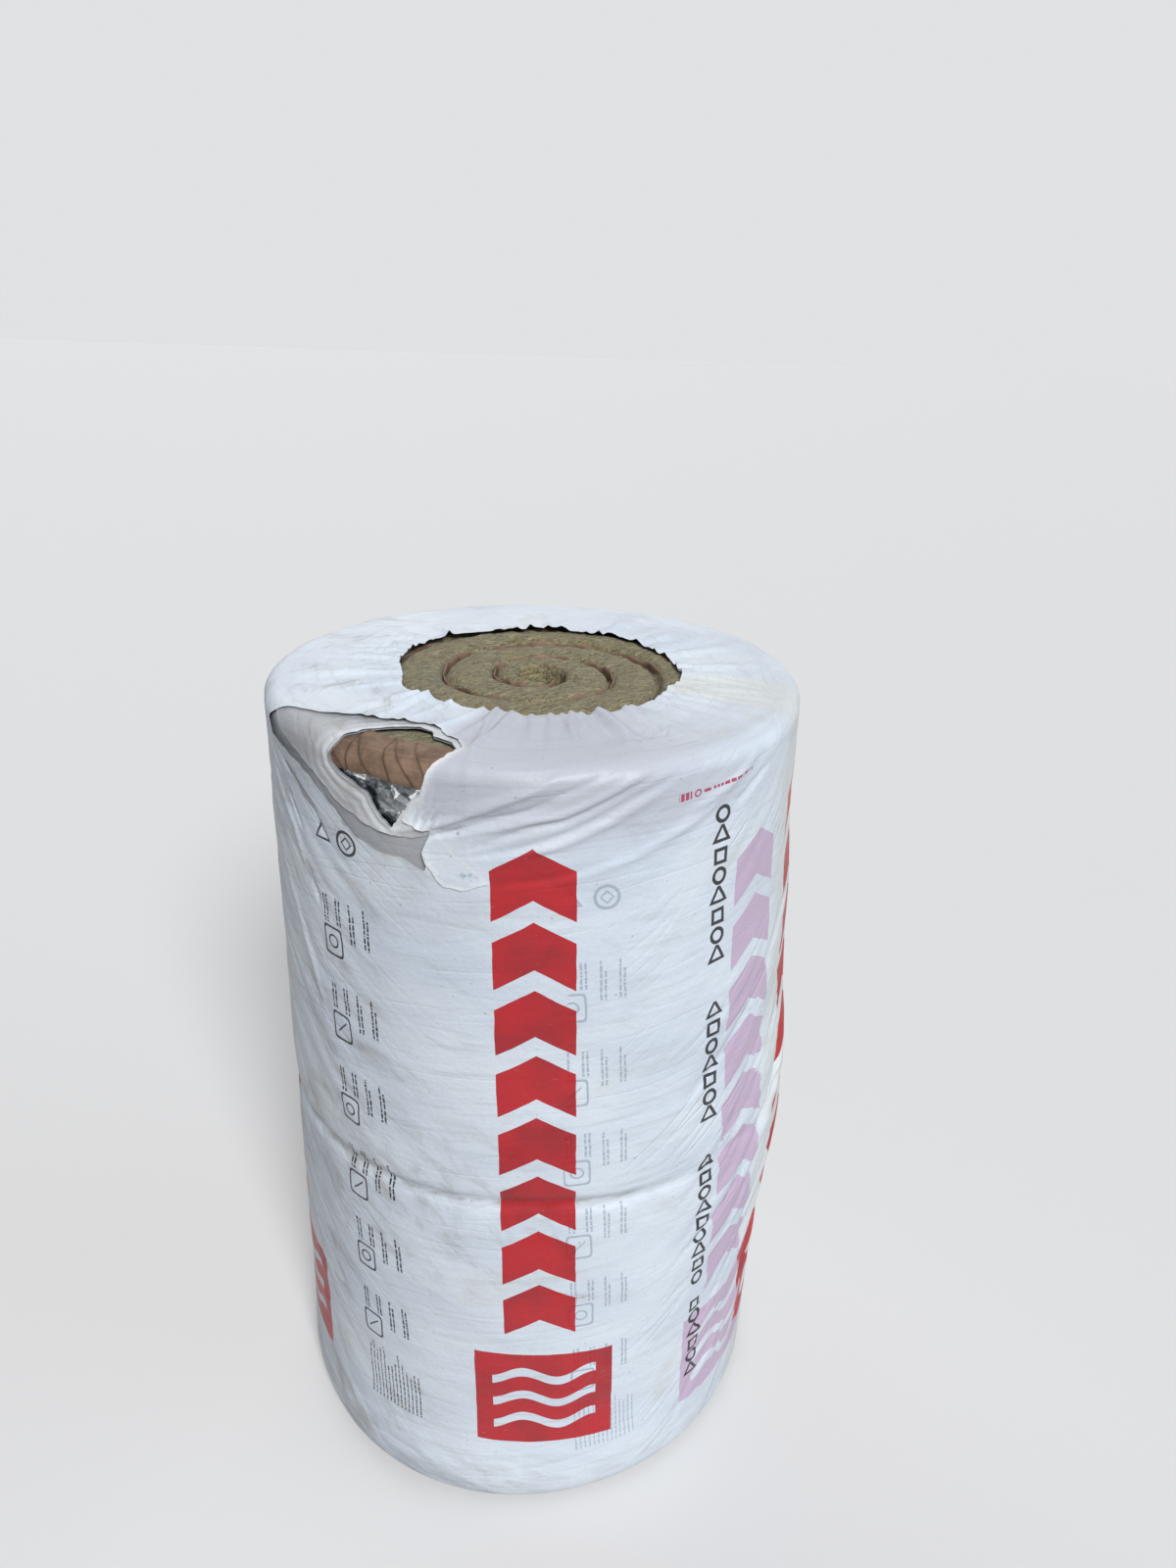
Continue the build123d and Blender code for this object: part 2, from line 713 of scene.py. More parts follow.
@dataclass(frozen=True)
class Meridian:
    """Line that the film follows from the base opening up the wall to the top opening.

    On the wall it stands at the wall radius and the meridian length equals the height. Each rim
    is a quarter circle, and beyond it the lap runs level towards the axis.
    """

    radius: float
    rim: float
    height: float
    opening: float
    base_gap: float

    @property
    def girth(self) -> float:
        """Length once round the wall."""
        return 2.0 * math.pi * self.radius

    @property
    def lap(self) -> float:
        """Length of the lap from the end of the rim to the opening."""
        return self.radius - self.rim - self.opening

    @property
    def lowest(self) -> float:
        """Meridian length at the base opening."""
        return self.base_gap + self.rim - math.pi / 2 * self.rim - self.lap

    @property
    def highest(self) -> float:
        """Meridian length at the top opening."""
        return self.height - self.rim + math.pi / 2 * self.rim + self.lap

    def place(self, s: Array, m: Array, lift: Array) -> Array:
        """Points in space for places on the film.

        The angle round a rim is the arc length past the wall's end over the rim radius, held to
        a quarter turn. The lift is added along the outward normal, and a point at arc s stands
        at the angle s over the wall radius, measured from the front towards the right.

        Args:
            s: Arc along the girth.
            m: Meridian length.
            lift: Height above this line along its normal.

        Returns:
            Points with a last axis of 3.
        """
        top, low = self.height - self.rim, self.base_gap + self.rim
        over = np.clip((m - top) / self.rim, 0.0, math.pi / 2)
        under = np.clip((low - m) / self.rim, 0.0, math.pi / 2)
        turn = over - under
        end = math.pi / 2 * self.rim
        past = np.maximum(m - top - end, 0.0) + np.maximum(low - m - end, 0.0)
        r = self.radius - self.rim + (self.rim + lift) * np.cos(turn) - past
        z = np.clip(m, low, top) + (self.rim + lift) * np.sin(turn)
        angle = s / self.radius
        return np.stack([r * np.sin(angle), -r * np.cos(angle), z], axis=-1)


# Torn outlines as (s, m) places: the holes in the outer and in the inner film, the swagged lip,
# the inner film that the tear bares, and the flap that hangs over the print.
TEAR_OUTER: Line = (
    (-0.338, 0.946), (-0.326, 0.929), (-0.293, 0.926), (-0.262, 0.919), (-0.244, 0.910),
    (-0.224, 0.899), (-0.207, 0.887), (-0.195, 0.876), (-0.179, 0.867), (-0.162, 0.862),
    (-0.141, 0.859), (-0.129, 0.861), (-0.116, 0.855), (-0.105, 0.851), (-0.103, 0.859),
    (-0.106, 0.869), (-0.102, 0.881), (-0.097, 0.892), (-0.112, 0.893), (-0.129, 0.897),
    (-0.122, 0.907), (-0.118, 0.917), (-0.108, 0.927), (-0.104, 0.936), (-0.102, 0.947),
    (-0.098, 0.955), (-0.087, 0.966), (-0.080, 0.986), (-0.092, 1.004), (-0.112, 1.012),
    (-0.128, 1.026), (-0.155, 1.031), (-0.190, 1.020), (-0.236, 1.006), (-0.272, 0.984),
    (-0.312, 0.964),
)
TEAR_INNER: Line = (
    (-0.206, 0.958), (-0.213, 0.945), (-0.211, 0.936), (-0.199, 0.928), (-0.184, 0.923),
    (-0.166, 0.917), (-0.161, 0.907), (-0.152, 0.895), (-0.141, 0.887), (-0.136, 0.895),
    (-0.125, 0.907), (-0.120, 0.917), (-0.110, 0.928), (-0.105, 0.936), (-0.103, 0.948),
    (-0.099, 0.956), (-0.090, 0.966), (-0.086, 0.985), (-0.098, 0.999), (-0.122, 1.006),
    (-0.134, 1.018), (-0.156, 1.022), (-0.181, 1.009), (-0.201, 0.984),
)
LIP_OUTLINE: Line = (
    (-0.330, 0.956), (-0.300, 0.940), (-0.268, 0.930), (-0.240, 0.919), (-0.223, 0.909),
    (-0.206, 0.897), (-0.182, 0.889), (-0.161, 0.882), (-0.140, 0.8795), (-0.118, 0.882),
    (-0.092, 0.890), (-0.070, 0.900), (-0.066, 0.960), (-0.070, 1.020), (-0.140, 1.045),
    (-0.220, 1.030), (-0.290, 0.995),
)
INNER_OUTLINE: Line = (
    (-0.350, 0.930), (-0.300, 0.900), (-0.230, 0.868), (-0.170, 0.846), (-0.085, 0.838),
    (-0.062, 0.880), (-0.060, 0.960), (-0.064, 1.024), (-0.140, 1.050), (-0.240, 1.036),
    (-0.345, 0.990),
)
FLAP_OUTLINE: Line = (
    (-0.098, 0.894), (-0.103, 0.881), (-0.107, 0.870), (-0.104, 0.860), (-0.097, 0.851),
    (-0.095, 0.845), (-0.087, 0.838), (-0.078, 0.8375), (-0.069, 0.836), (-0.055, 0.842),
    (-0.046, 0.845), (-0.040, 0.856), (-0.046, 0.874), (-0.060, 0.890), (-0.080, 0.897),
)
TENSION_FOLDS: tuple[Fold, ...] = (
    Fold(((-0.150, 0.880), (-0.132, 0.886), (-0.109, 0.893), (-0.084, 0.903), (-0.050, 0.918),
          (-0.018, 0.932), (0.012, 0.943)), 0.0042, 0.0026),
    Fold(((-0.128, 0.879), (-0.100, 0.887), (-0.062, 0.900), (-0.024, 0.914), (0.010, 0.926)),
         -0.0024, 0.0032),
    Fold(((-0.060, 0.880), (-0.008, 0.903), (0.023, 0.909), (0.054, 0.923), (0.111, 0.950)),
         -0.0028, 0.0030),
    Fold(((-0.070, 0.892), (-0.010, 0.909), (0.024, 0.916), (0.058, 0.931), (0.104, 0.955)),
         0.0030, 0.0029),
    Fold(((-0.064, 0.905), (-0.008, 0.919), (0.015, 0.933), (0.040, 0.944), (0.070, 0.958)),
         -0.0026, 0.0027),
    Fold(((-0.070, 0.915), (-0.030, 0.930), (-0.005, 0.941), (0.022, 0.952)), 0.0032, 0.0027),
    Fold(((-0.060, 0.872), (-0.018, 0.882), (0.015, 0.893), (0.055, 0.911), (0.087, 0.928),
          (0.138, 0.949)), -0.0026, 0.0034),
    Fold(((-0.030, 0.871), (0.020, 0.886), (0.070, 0.908), (0.120, 0.934)), 0.0023, 0.0035),
    Fold(((0.208, 0.899), (0.242, 0.917), (0.262, 0.930)), -0.0028, 0.0034),
    Fold(((0.150, 0.905), (0.190, 0.920), (0.235, 0.944)), 0.0024, 0.0037),
    Fold(((0.020, 0.850), (0.090, 0.868), (0.170, 0.902), (0.230, 0.938)), 0.0019, 0.0048),
    Fold(((-0.040, 0.845), (0.010, 0.852), (0.060, 0.864)), -0.0016, 0.0040),
    Fold(((-0.320, 0.915), (-0.280, 0.900), (-0.246, 0.878), (-0.226, 0.850)), -0.0024, 0.0027),
    Fold(((-0.344, 0.900), (-0.318, 0.868), (-0.290, 0.842), (-0.270, 0.800)), 0.0023, 0.0037),
    Fold(((-0.300, 0.880), (-0.283, 0.858), (-0.272, 0.846)), -0.0032, 0.0019),
    Fold(((-0.262, 0.800), (-0.252, 0.785), (-0.247, 0.768)), -0.0028, 0.0019),
    Fold(((-0.340, 0.800), (-0.300, 0.742), (-0.270, 0.690), (-0.250, 0.630)), 0.0021, 0.0048),
)


def slack_folds(count: int = 15) -> tuple[Fold, ...]:
    """Long valleys in the slack film on the right, each rising to the right at about 45 degrees.

    They start one above the other, and their places, lengths and depths vary at random.

    Args:
        count: How many there are.

    Returns:
        The folds.
    """
    random = np.random.default_rng(81)
    folds = []
    for start in np.linspace(0.06, 0.60, count):
        s0, m0 = random.uniform(0.13, 0.24), start + random.uniform(-0.012, 0.012)
        rise, span = random.uniform(0.75, 1.15), random.uniform(0.14, 0.27)
        bend = random.uniform(-0.014, 0.014)
        line = ((s0, m0), (s0 + 0.5 * span, m0 + 0.5 * span * rise - bend), (s0 + span, m0 + span * rise))
        folds.append(Fold(line, -random.uniform(0.0016, 0.0034), random.uniform(0.0036, 0.0058)))
    return tuple(folds)


@dataclass(frozen=True)
class FilmPrint:
    """Plain motifs in the places where the film is printed.

    Upright columns of chevrons, each over a block of waves, repeat round the girth. Between
    them stand, by turns, small framed marks with rows of dashes, and a line of plain shapes.
    """

    repeat: float = 0.3793
    lean: float = 0.0247
    shift: float = 0.0168
    column_half: float = 0.040
    column_span: Span = (0.275, 0.883)
    chevron_pitch: float = 0.076
    block_middle: float = 0.0044
    block_half: float = 0.080
    block_span: Span = (0.100, 0.242)
    window_half: float = 0.060
    window_span: Span = (0.117, 0.226)
    block_fall: float = 0.024
    wave_pitch: float = 0.0363
    wave_swings: float = 78.0
    wave_height: float = 0.0075
    marks_aside: float = 0.1725
    marks_lean: float = 0.0256
    mark_span: Span = (0.195, 0.765)
    mark_pitch: float = 0.103
    first_mark: float = 0.220
    frame_half: Span = (0.0142, 0.0165)
    mark_ring: Span = (0.0066, 0.0011)
    mark_bar: Span = (0.0074, 0.0013)
    lines_left: float = 0.0135
    lines_width: float = 0.0765
    lines_span: Span = (0.205, 0.815)
    lane: float = 0.0195
    strokes: Span = (0.0036, 0.0082)
    dash_pitch: float = 0.0017
    word_pitches: Span = (0.0081, 0.0173)
    narrow_lane: float = 0.0056
    badge_height: float = 0.855
    badge_pitch: float = 0.036
    badge_ring: Span = (0.0118, 0.0016)
    badge_square: Span = (0.0062, 0.0011)
    badge_triangle: Span = (0.0062, 0.0012)
    shapes_aside: float = 0.2061
    shapes_lean: float = 0.0120
    shape_pitch: float = 0.0226
    shape_ring: Span = (0.0080, 0.0021)
    shape_square: Span = (0.0072, 0.0020)
    shape_triangle: Span = (0.0057, 0.0018)
    shape_groups: tuple[Span, ...] = ((0.7232, 0.9040), (0.5198, 0.6780), (0.2712, 0.4746), (0.1130, 0.2486))
    fine_height: float = 0.9205
    fine_climb: float = 0.10
    fine_bold: Span = (0.140, 0.154)
    fine_ring_middle: float = 0.161
    fine_ring: Span = (0.0032, 0.0008)
    fine_thin: Span = (0.168, 0.236)
    fine_halves: Span = (0.0038, 0.0016)
    fine_dashes: Span = (0.0052, 0.0016)

    def columns(self, u: Field, v: Field) -> Field:
        """Mask of the bold columns and blocks.

        The place across is measured from the nearest column's middle. A chevron is where the
        height plus six tenths of that distance, in chevron pitches, has a part above three tenths.

        Args:
            u: Arc along the girth.
            v: Height.

        Returns:
            Mask field.
        """
        across = u + v * self.lean - self.shift
        q = across - (across / self.repeat + 0.5).floor() * self.repeat
        rank = (v - self.column_span[0] + abs(q) * 0.6) / self.chevron_pitch
        chevrons = rank.part().over(0.30) * rank.between(-1.0, 8.0)
        column = q.near(0.0, self.column_half) * v.between(*self.column_span) * chevrons
        level = v + q * self.block_fall
        block = q.near(self.block_middle, self.block_half) * level.between(*self.block_span)
        swing = u.graph.math("SINE", q * self.wave_swings) * self.wave_height
        waves = ((level + swing - self.window_span[0]) / self.wave_pitch).part().between(0.30, 0.66)
        window = q.near(self.block_middle, self.window_half) * level.between(*self.window_span)
        return column | (block - waves * window)

    def _past_column(self, u: Field, v: Field) -> tuple[Field, Field]:
        """Arc past the column on the left, and a mask of every second gap between columns.

        Args:
            u: Arc along the girth.
            v: Height.

        Returns:
            The arc, and the mask.
        """
        across = u + v * self.lean - self.shift
        gap = (across / self.repeat).floor()
        return across - gap * self.repeat, (gap * 0.5).part().over(0.25)

    def marks(self, u: Field, v: Field) -> Field:
        """Mask of the small black marks and of the line of plain shapes.

        The small marks fill every second gap between two columns, the shapes the other gaps.

        Args:
            u: Arc along the girth.
            v: Height.

        Returns:
            Mask field.
        """
        p, odd = self._past_column(u, v)
        x = p - self.marks_aside + v * self.marks_lean
        small = self._icons(x, v) | self._lines(x, v) | self._badges(x, v)
        return small * odd | self._shapes(p - self.shapes_aside + v * self.shapes_lean, v) * odd.inverse()

    def _from_mark(self, v: Field) -> tuple[Field, Field]:
        """Number of the nearest small mark up the film, and the height above its middle."""
        step = ((v - self.first_mark) / self.mark_pitch + 0.5).floor()
        return step, v - self.first_mark - step * self.mark_pitch

    def _icons(self, x: Field, v: Field) -> Field:
        """Rounded frames, holding by turns a ring and a bar.

        A frame is where the seventh root of the summed seventh powers of both distances, in
        half sides, is near one.

        Args:
            x: Arc past the column of small marks.
            v: Height.

        Returns:
            Mask field.
        """
        step, y = self._from_mark(v)
        corner = abs(x / self.frame_half[0]).power(7.0) + abs(y / self.frame_half[1]).power(7.0)
        frame_line = corner.power(1.0 / 7.0).near(0.95, 0.080)
        ring = x.away(y).near(*self.mark_ring)
        bar = abs(x - y).near(0.0, self.mark_bar[1]) * abs(x).near(0.0, self.mark_bar[0])
        plain = (step * 0.5).part().over(0.25)
        return (frame_line | ring * plain | bar * plain.inverse()) * v.between(*self.mark_span)

    def _lines(self, x: Field, v: Field) -> Field:
        """Upright lines of fine dashes: four pairs above each small mark, and a block below all.

        Each line has a length of its own, is broken into words, and swells and thins.

        Args:
            x: Arc past the column of small marks.
            v: Height.

        Returns:
            Mask field.
        """
        random = x.graph.random
        step, y = self._from_mark(v)
        from_left = x + self.lines_left
        lane = (from_left / self.lane).floor()
        across = from_left - lane * self.lane
        second = across.over(0.0060)
        fine = random((v / self.dash_pitch).floor(), lane, second)
        half = fine * 0.0006 + 0.0009
        stroke = across.near(self.strokes[0], half) | across.near(self.strokes[1], half)
        beside = lane.over(1.5) * 0.014
        reach = (random(lane, step, second) * 0.020 + 0.054) * (second * -0.42 + 1.0) + 0.020 - beside
        rows = (y + beside).over(0.020) * reach.over(y) * v.between(*self.lines_span)
        short, long = self.word_pitches
        words = (v / short + random(lane, second, 3.0)).part().over(0.13)
        words = words * (v / long + lane * 0.37).part().over(0.06)
        narrow = from_left / self.narrow_lane
        low = narrow.part().near(0.5, fine * 0.10 + 0.10)
        ragged = random(narrow.floor(), 7.0) * 0.030 + 0.160
        block = low * v.over(0.105) * ragged.over(v)
        return (stroke * rows | block) * words * from_left.between(0.0, self.lines_width)

    def _badges(self, x: Field, v: Field) -> Field:
        """A triangle and a bold ring round a tilted square, under the top rim.

        Args:
            x: Arc past the column of small marks.
            v: Height.

        Returns:
            Mask field.
        """
        w = v - self.badge_height
        beside = x - self.badge_pitch
        ring = beside.away(w).near(*self.badge_ring)
        square = (abs(beside) + abs(w)).near(*self.badge_square)
        return self._triangle(x, w).near(*self.badge_triangle) | ring | square

    def _triangle(self, x: Field, w: Field) -> Field:
        """Distance from the middle of an upright triangle, measured square to its sides."""
        return abs(x) * 0.866 + w * 0.5 | w * -1.0

    def _shapes(self, t: Field, v: Field) -> Field:
        """A line of rings, squares and triangles in four groups.

        Args:
            t: Arc past the middle of the line of shapes.
            v: Height.

        Returns:
            Mask field.
        """
        number = (v / self.shape_pitch).floor()
        w = v - number * self.shape_pitch - self.shape_pitch / 2
        turn = (number / 3.0).part()
        line = t.away(w).near(*self.shape_ring) * turn.near(0.0, 0.1)
        line = line | (abs(t) | abs(w)).near(*self.shape_square) * turn.near(1.0 / 3.0, 0.1)
        line = line | self._triangle(t, w).near(*self.shape_triangle) * turn.near(2.0 / 3.0, 0.1)
        first, *others = (v.between(*span) for span in self.shape_groups)
        for group in others:
            first = first | group
        return line * first

    def fine_line(self, u: Field, v: Field) -> Field:
        """Mask of the thin slanted line of dashes under the top rim.

        Args:
            u: Arc along the girth.
            v: Height.

        Returns:
            Mask field.
        """
        p, odd = self._past_column(u, v)
        y = v - self.fine_height - (p - self.fine_bold[0]) * self.fine_climb
        (bold_half, thin_half), (bold_dash, thin_dash) = self.fine_halves, self.fine_dashes
        bold = p.between(*self.fine_bold) * y.near(0.0, bold_half) * (p / bold_dash).part().over(0.25)
        ring = (p - self.fine_ring_middle).away(y).near(*self.fine_ring)
        dashes = u.graph.random((p / thin_dash).floor(), 0.0).over(0.25)
        thin = p.between(*self.fine_thin) * y.near(0.0, thin_half) * dashes
        return (bold | ring | thin) * odd.inverse()


class Layer(Enum):
    """Which of the film's layers a piece is cut from."""

    OUTER = "outer"
    LIP = "lip"
    INNER = "inner"


@dataclass(frozen=True)
class FilmFinish:
    """Opaque white bag film, printed outside, grimed, scuffed and finely wrinkled, with painted shade and dirt on its
    left side, in the crease between the rolls and at the foot.
    """

    white: Colour = srgb(218, 227, 237)
    cool: Colour = srgb(205, 215, 228)
    grey: Colour = srgb(168, 171, 178)
    dull_grey: Colour = srgb(150, 154, 160)
    stretched_white: Colour = srgb(226, 229, 232)
    lilac: Colour = srgb(180, 183, 194)
    cream: Colour = srgb(214, 214, 203)
    # Colour of dirt, and of painted shade where it is laid thick on the left side.
    grime_and_shade: Colour = srgb(140, 136, 128)
    sallow: Colour = srgb(196, 192, 176)
    speck: Colour = srgb(96, 94, 90)
    # Painted shade and dirt in the crease between the rolls.
    joint_shade_and_dirt: Colour = srgb(128, 126, 120)
    smear_dirt: Colour = srgb(138, 132, 122)
    # Painted shade and dirt at the foot.
    foot_shade_and_dirt: Colour = srgb(126, 123, 117)
    rub_dirt: Colour = srgb(140, 134, 124)
    rust: Colour = srgb(158, 122, 98)
    stain: Colour = srgb(122, 146, 158)
    red: Colour = srgb(183, 7, 20)
    deep_red: Colour = srgb(154, 7, 19)
    ink: Colour = srgb(20, 22, 26)
    magenta: Colour = srgb(168, 42, 82)
    under_red: Colour = srgb(190, 160, 190)
    under_ink: Colour = srgb(150, 163, 178)
    lap_start: Span = (0.028, 0.034)
    under_shift: Span = (0.262, -0.025)
    print_drift: Span = (0.0026, 0.0030)
    pleat_jump: Span = (0.0085, 0.0060)
    pleat_pitch: float = 0.015
    pleat_rise: float = 0.92
    pleat_bend: float = 0.075
    crease_bump: float = 0.0011
    crinkle_bump: float = 0.0005
    grain_bump: float = 0.00005
    printing: FilmPrint = FilmPrint()

    def material(self, layer: Layer) -> bpy.types.Material:
        """Build the finish for one layer.

        Args:
            layer: Which layer it is for; only the outer one carries print.

        Returns:
            The material.
        """
        outer = layer is Layer.OUTER
        graph = FilmGraph(f"film_{layer.value}", self.white if outer else self.grey)
        s, m, cloud = graph.s, graph.m, graph.cloud
        broad = cloud(5.0, 9.0, detail=4.0)
        mottle = graph.noise(graph.place, 260.0, 2.0, 0.6)
        graph.paint(broad.eased(0.35, 0.68), self.cool if outer else self.dull_grey)
        if outer:
            top = m.eased(0.86, 0.93) * s.eased(-0.13, -0.09) * s.faded(0.05, 0.30)
            graph.paint(top * 0.85, self.lilac)
        graph.paint(graph.attribute("strain").eased(0.15, 1.0, 0.0, 0.85), self.stretched_white)
        # Painted shade and dirt: a dirt cloud is laid much thicker on the left side, which paints that side darker as
        # if in shade.
        left_shade_and_dirt = s.faded(-0.26, -0.06) * s.eased(-1.2, -0.5)
        dirt_and_shade_cloud = cloud(12.0, 30.0, -32.0, detail=5.0, rough=0.64, warp=0.6).eased(0.50, 0.74)
        graph.paint(dirt_and_shade_cloud * (left_shade_and_dirt * 0.75 + 0.16) * 0.72, self.grime_and_shade)
        graph.paint(cloud(7.0, 11.0, 40.0, detail=4.0, warp=0.8).eased(0.56, 0.72, 0.0, 0.22), self.sallow)
        graph.paint(cloud(9.0, 120.0, 3.0, warp=0.4).eased(0.50, 0.80, 0.0, 0.22), self.grime_and_shade)
        graph.paint(mottle.eased(0.35, 0.75, 0.0, 0.10), self.grey)
        if outer:
            self._soil(graph)
            self._print(graph)
        graph.paint(cloud(170.0, 210.0, detail=1.0).over(0.765) * 0.45, self.speck)
        self._wrinkle(graph)
        return graph.dress(broad * 0.16 + mottle * 0.14 + 0.26, Specular_IOR_Level=0.30)

    def _soil(self, graph: FilmGraph) -> None:
        """Paint painted shade and dirt in the crease between the rolls and at the foot, rubs, and a warmer right.

        Args:
            graph: The material's graph.
        """
        s, m, cloud = graph.s, graph.m, graph.cloud
        graph.paint(s.eased(0.29, 0.34) * s.faded(0.40, 0.46) * 0.45, self.cream)
        # Painted shade and dirt: a patchy dark band along the crease between the rolls, strongest at the front left.
        wander = m - JOINT + (cloud(10.0, 3.0, detail=2.0) - 0.5) * 0.012
        patchy = cloud(22.0, 70.0, 8.0, detail=4.0, rough=0.6).eased(0.34, 0.62, 0.0, 0.60)
        band = abs(wander).faded(0.0, 0.011) * s.eased(0.02, 0.22, 1.0, 0.25)
        graph.paint(band * patchy, self.joint_shade_and_dirt)
        smear = cloud(30.0, 11.0, 12.0, detail=4.0, warp=0.7).eased(0.50, 0.70, 0.0, 0.35)
        graph.paint(m.between(0.405, 0.452) * s.faded(-0.10, 0.06) * smear, self.smear_dirt)
        # Painted shade and dirt: the foot is painted darker in patches, most on the left.
        foot_patches = cloud(16.0, 60.0, -12.0, detail=5.0, rough=0.62, warp=0.5).eased(0.38, 0.66, 0.0, 0.42)
        foot = m.faded(0.015, 0.115) * s.eased(-0.12, 0.16, 1.0, 0.28)
        graph.paint(foot * foot_patches, self.foot_shade_and_dirt)
        rubbed = cloud(14.0, 34.0, -40.0, detail=5.0, rough=0.66, warp=0.8).eased(0.47, 0.66, 0.0, 0.30)
        front = s.between(-0.30, 0.03) * m.eased(0.30, 0.38) * m.faded(0.50, 0.62)
        graph.paint(front * rubbed, self.rub_dirt)
        scratched = cloud(70.0, 420.0, -19.0).eased(0.44, 0.60, 0.0, 0.65)
        graph.paint(graph.spot((0.040, 0.332), (1.0 / 24.0, 1.0 / 190.0), 0.35) * scratched, self.rust)

    def _print(self, graph: FilmGraph) -> None:
        """Lay the print over the film's colour.

        The print runs a little unevenly, by a slow noise of about a millimetre, and jumps from
        pleat to pleat in the slack film. In the lap where two layers lie over each other the
        lower layer's print shows through, paler. On the left and on the right it stands a
        little aside, as the film is drawn there.

        Args:
            graph: The material's graph.
        """
        s, m, cloud = graph.s, graph.m, graph.cloud
        number, _, loose = self._pleats(graph)
        u = s + (graph.noise(graph.place, 30.0, 2.0) - 0.5) * self.print_drift[0]
        v = m + (cloud(24.0, 24.0, 50.0, detail=2.0) - 0.5) * self.print_drift[1]
        u = u + (graph.random(number, 3.0) - 0.5) * loose * self.pleat_jump[0]
        v = v + (graph.random(number, 4.0) - 0.5) * loose * self.pleat_jump[1]
        lapped = u.eased(*self.lap_start)
        under_u, under_v = u - self.under_shift[0], v - self.under_shift[1]
        graph.paint(self.printing.columns(under_u, under_v) * lapped * 0.78, self.under_red)
        graph.paint(self.printing.marks(under_u, under_v) * lapped * 0.72, self.under_ink)
        u = u - s.eased(0.300, 0.345, 0.0, 0.018) + s.eased(-0.300, -0.260, 0.0215, 0.0)
        u = u + v.eased(0.24, 0.30) * s.eased(-0.56, -0.46) * s.eased(-0.35, -0.31, 0.038, 0.0)
        solid = cloud(60.0, 260.0, 8.0).eased(0.66, 0.78, 0.96, 0.80)
        red = graph.blend(graph.noise(graph.place, 14.0, 3.0).eased(0.35, 0.7), self.red, self.deep_red)
        graph.paint(self.printing.columns(u, v) * solid, red)
        graph.paint(self.printing.marks(u, v) * solid, self.ink)
        graph.paint(self.printing.fine_line(u, v) * 0.9, self.magenta)
        blotched = graph.noise(graph.place, 150.0, 2.0).eased(0.40, 0.60, 0.0, 0.55)
        graph.paint(graph.spot((-0.064, 0.851), (1.0 / 78.0, 1.0 / 190.0)) * blotched, self.stain)

    def _pleats(self, graph: FilmGraph) -> tuple[Field, Field, Field]:
        """Small pleats of the slack film, which rise to the right at about 45 degrees.

        They are steps of the height less the arc, bent by a slow noise.

        Args:
            graph: The material's graph.

        Returns:
            The pleat's number, the place across it from 0 to 1, and how loose the film is there.
        """
        wander = (graph.noise(graph.place, 8.0, 1.2) - 0.5) * self.pleat_bend
        bent = graph.m - graph.s * self.pleat_rise + wander
        across = bent / self.pleat_pitch
        loose = graph.s.eased(0.185, 0.265) * graph.m.faded(0.62, 0.75) * graph.s.faded(0.46, 0.54)
        return across.floor(), across.part(), loose

    def _wrinkle(self, graph: FilmGraph) -> None:
        """Add fine creases as bump: falling to the right on the left side, rising on the right.

        A crease is where a slow noise that is long one way crosses a half. The pleats of the
        slack film are ridges with a sharpness of their own.

        Args:
            graph: The material's graph.
        """
        cloud = graph.cloud
        lone = cloud(8.0, 12.0, 30.0, detail=2.0).eased(0.50, 0.62)
        number, across, loose = self._pleats(graph)
        sharp = graph.random(number, 5.0).eased(0.30, 1.0)
        along = cloud(9.0, 16.0, 43.0, detail=2.0).eased(0.42, 0.60)
        creases = abs(across - 0.5).eased(0.29, 0.5, 0.0, -0.80) * loose * sharp * along
        for long, narrow, turn, width, strength in (
            (4.0, 40.0, 38.0, 0.06, graph.s.eased(0.02, 0.20) * lone * 0.55 + 0.02),
            (5.0, 44.0, -34.0, 0.06, graph.s.faded(-0.24, -0.06) * 0.20 + 0.03),
            (4.0, 40.0, 6.0, 0.05, lone.inverse() * 0.16),
        ):
            line = abs(cloud(long, narrow, turn, detail=1.0, rough=0.4) - 0.5).eased(0.0, width)
            creases = creases + line * strength
        graph.bump(creases, self.crease_bump)
        graph.bump(cloud(150.0, 210.0, 14.0, detail=4.0, rough=0.6), self.crinkle_bump)
        graph.bump(graph.noise(graph.place, 900.0, 2.0), self.grain_bump)


@dataclass(frozen=True)
class FoilFinish:
    """Crumpled aluminium facing with grimed creases, its facets painted dark or light as painted reflections, the
    lightest with painted glints.
    """

    # Painted highlight and painted reflections: the colours of the glints and of the light and dark facets.
    painted_glint: Colour = srgb(252, 253, 255)
    bright_reflection: Colour = srgb(206, 212, 216)
    dark_reflection: Colour = srgb(50, 54, 58)
    smear: Colour = srgb(84, 88, 90)

    def material(self, name: str) -> bpy.types.Material:
        """Build the finish.

        Args:
            name: The material's name.

        Returns:
            The material.
        """
        graph = Graph(bpy.data.materials.new(name), self.dark_reflection)
        place = graph.object_place()
        # Painted reflections: the flat facets are painted darker or lighter by their slopes, as if they mirrored dark
        # or light surroundings.
        facet_reflection = graph.attribute("tone")
        small = graph.patches(graph.stretched(place, (1.0, 1.0, 0.7)), 210.0)
        graph.paint((facet_reflection * 0.92 + small * 0.08).power(1.4), self.bright_reflection)
        graph.paint(graph.noise(place, 60.0, 3.0, 0.6, 0.5).eased(0.50, 0.68, 0.0, 0.3), self.smear)
        # Painted highlight: near-white glints on the facets whose tone is highest.
        graph.paint(facet_reflection.eased(0.74, 0.86), self.painted_glint)
        graph.bump(graph.noise(place, 180.0, 3.0), 0.0005)
        return graph.dress(small * 0.16 + 0.14, Metallic=1.0)


